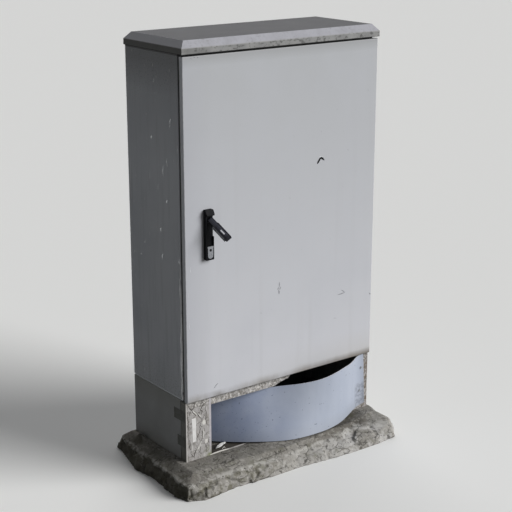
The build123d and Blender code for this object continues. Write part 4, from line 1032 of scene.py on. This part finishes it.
def concrete_pad():
    """The cast pad: outlines bridged into a shell round the cable pit, then broken and pitted."""
    pit_half_x, pit_half_y, pit_y = 220, 80, 185
    belly_z, top = 20, ground / MM
    pit = [(x * pit_half_x, pit_y + y * pit_half_y) for x, y in ((-1, -1), (1, -1), (1, 1), (-1, 1))]
    bm = bmesh.new()
    levels = (
        (pad_foot, 0), (pad_belly, belly_z), (pad_edge, edge_z), (pad_crown, top), (pit, top), (pit, 0),
    )
    rings = [ring(bm, points, height) for points, height in levels]
    for lower, upper in zip(rings, rings[1:] + rings[:1]):
        bmesh.ops.bridge_loops(bm, edges=lower + upper)
    bmesh.ops.recalc_face_normals(bm, faces=bm.faces)
    pad = piece("concrete_pad", bm, concrete, smooth=True)
    bm = even_skin(pad, voxel=3.6 * MM)
    bmesh.ops.smooth_vert(bm, verts=bm.verts, factor=0.5, use_axis_x=True, use_axis_y=True, use_axis_z=True)
    bm.normal_update()
    plinth_half = post_high.x / MM + 3
    plinth_front, plinth_rear = post_low.y / MM - 2, rear_high.y / MM + 2
    underside, edge_band = 1.5, 6
    level_from, level_band = 0.3, 0.4
    for vert in bm.verts:
        at = vert.co / MM
        up = vert.normal.z
        under_plinth = abs(at.x) < plinth_half and plinth_front < at.y < plinth_rear
        if at.z < underside or under_plinth:
            continue
        wavy = noise.fractal(at / 70 + Vector((9, 4, 2)), 1.0, 2.0, 3)
        grain = noise.fractal(at / 9, 1.0, 2.0, 3)
        edge = edge_z + 3 * noise.noise(at / 35)
        wall = min(1.0, max(0.0, (edge - at.z) / edge_band))
        push = wall * fracture(at) + (1 - wall) * (1.8 * wavy + 0.6 * grain)
        vert.co += vert.normal * push * MM
        if up > level_from:
            vert.co.z += pad_height_at(at.x, at.y) * MM * min(1.0, (up - level_from) / level_band)
    # The skin stays inside the plain pad's box, except that its top may rise above it.
    most = Vector((pad_high.x, pad_high.y, cad_box[1][2]))
    for vert in bm.verts:
        for axis in range(3):
            vert.co[axis] = min(max(vert.co[axis], pad_low[axis]), most[axis])
    bm.to_mesh(pad.data)
    bm.free()
    for face in pad.data.polygons:
        face.use_smooth = True
    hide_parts("concrete_base")


concrete_pad()
door_marks()
wall_marks()
post_marks()
window_flake()
gear_screws()
lever_label()


# ---------------------------------------------------- floor, lights and camera
def background_rays(tree):
    """Mask of the rays that should see the pale surroundings: the camera's, mirrored and refracted ones."""
    seen = add(tree, "LightPath", {}, "Is Camera Ray")
    for kind in ("Is Glossy Ray", "Is Transmission Ray"):
        seen = add(tree, "Math", [seen, add(tree, "LightPath", {}, kind)], **LARGER)
    return seen


def pale_floor():
    """A broad floor that looks pale but throws less light up at the cabinet."""
    half_size = 60
    mesh = bpy.data.meshes.new("floor")
    bm = bmesh.new()
    bmesh.ops.create_grid(bm, x_segments=1, y_segments=1, size=half_size)
    bm.to_mesh(mesh)
    bm.free()
    made = bpy.data.materials.new("pale_floor")
    made.use_nodes = True
    tree = made.node_tree
    tree.nodes.clear()
    pale = add(tree, "BsdfDiffuse", {"Color": shade("#f4f4f2")})
    dim = add(tree, "BsdfDiffuse", {"Color": shade("#8a8a88")})
    end_in(tree, add(tree, "MixShader", {0: background_rays(tree), 1: dim, 2: pale}))
    mesh.materials.append(made)
    floor = stand("floor", mesh)


def pale_world():
    """A pale surrounding that gives the cabinet only a little soft light."""
    world = bpy.data.worlds.new("studio")
    bpy.context.scene.world = world
    world.use_nodes = True
    tree = world.node_tree
    tree.nodes.clear()
    soft = add(tree, "Background", {"Color": shade("#e8eaee"), "Strength": 0.15})
    pale = add(tree, "Background", {"Color": shade("#e4e5e6"), "Strength": 0.75})
    end_in(tree, add(tree, "MixShader", {0: background_rays(tree), 1: soft, 2: pale}), "World")


def lights():
    """A broad key light from the front right and a softer one from behind on the right."""
    for name, towards, strength, spread in (
        ("key", (0.60, -0.72, 0.42), 3.6, 40),
        ("back", (0.45, 0.80, 0.45), 1.0, 50),
    ):
        lamp = bpy.data.lights.new(name, "SUN")
        lamp.energy = strength
        lamp.angle = math.radians(spread)
        stand(name, lamp).rotation_euler = Vector(towards).to_track_quat("Z", "Y").to_euler()


def camera():
    """A long lens in front of the cabinet and to its left, above its roof."""
    tilt, turn = 73.47, -36.92
    lens = bpy.data.cameras.new("camera")
    lens.lens = 89.68
    lens.sensor_width = 36
    holder = stand("camera", lens)
    holder.location = (-2.3940, -3.0386, 1.8242)
    holder.rotation_euler = (math.radians(tilt), 0, math.radians(turn))
    bpy.context.scene.camera = holder


pale_floor()
lights()
pale_world()
camera()
bpy.context.scene.view_settings.view_transform = "Standard"
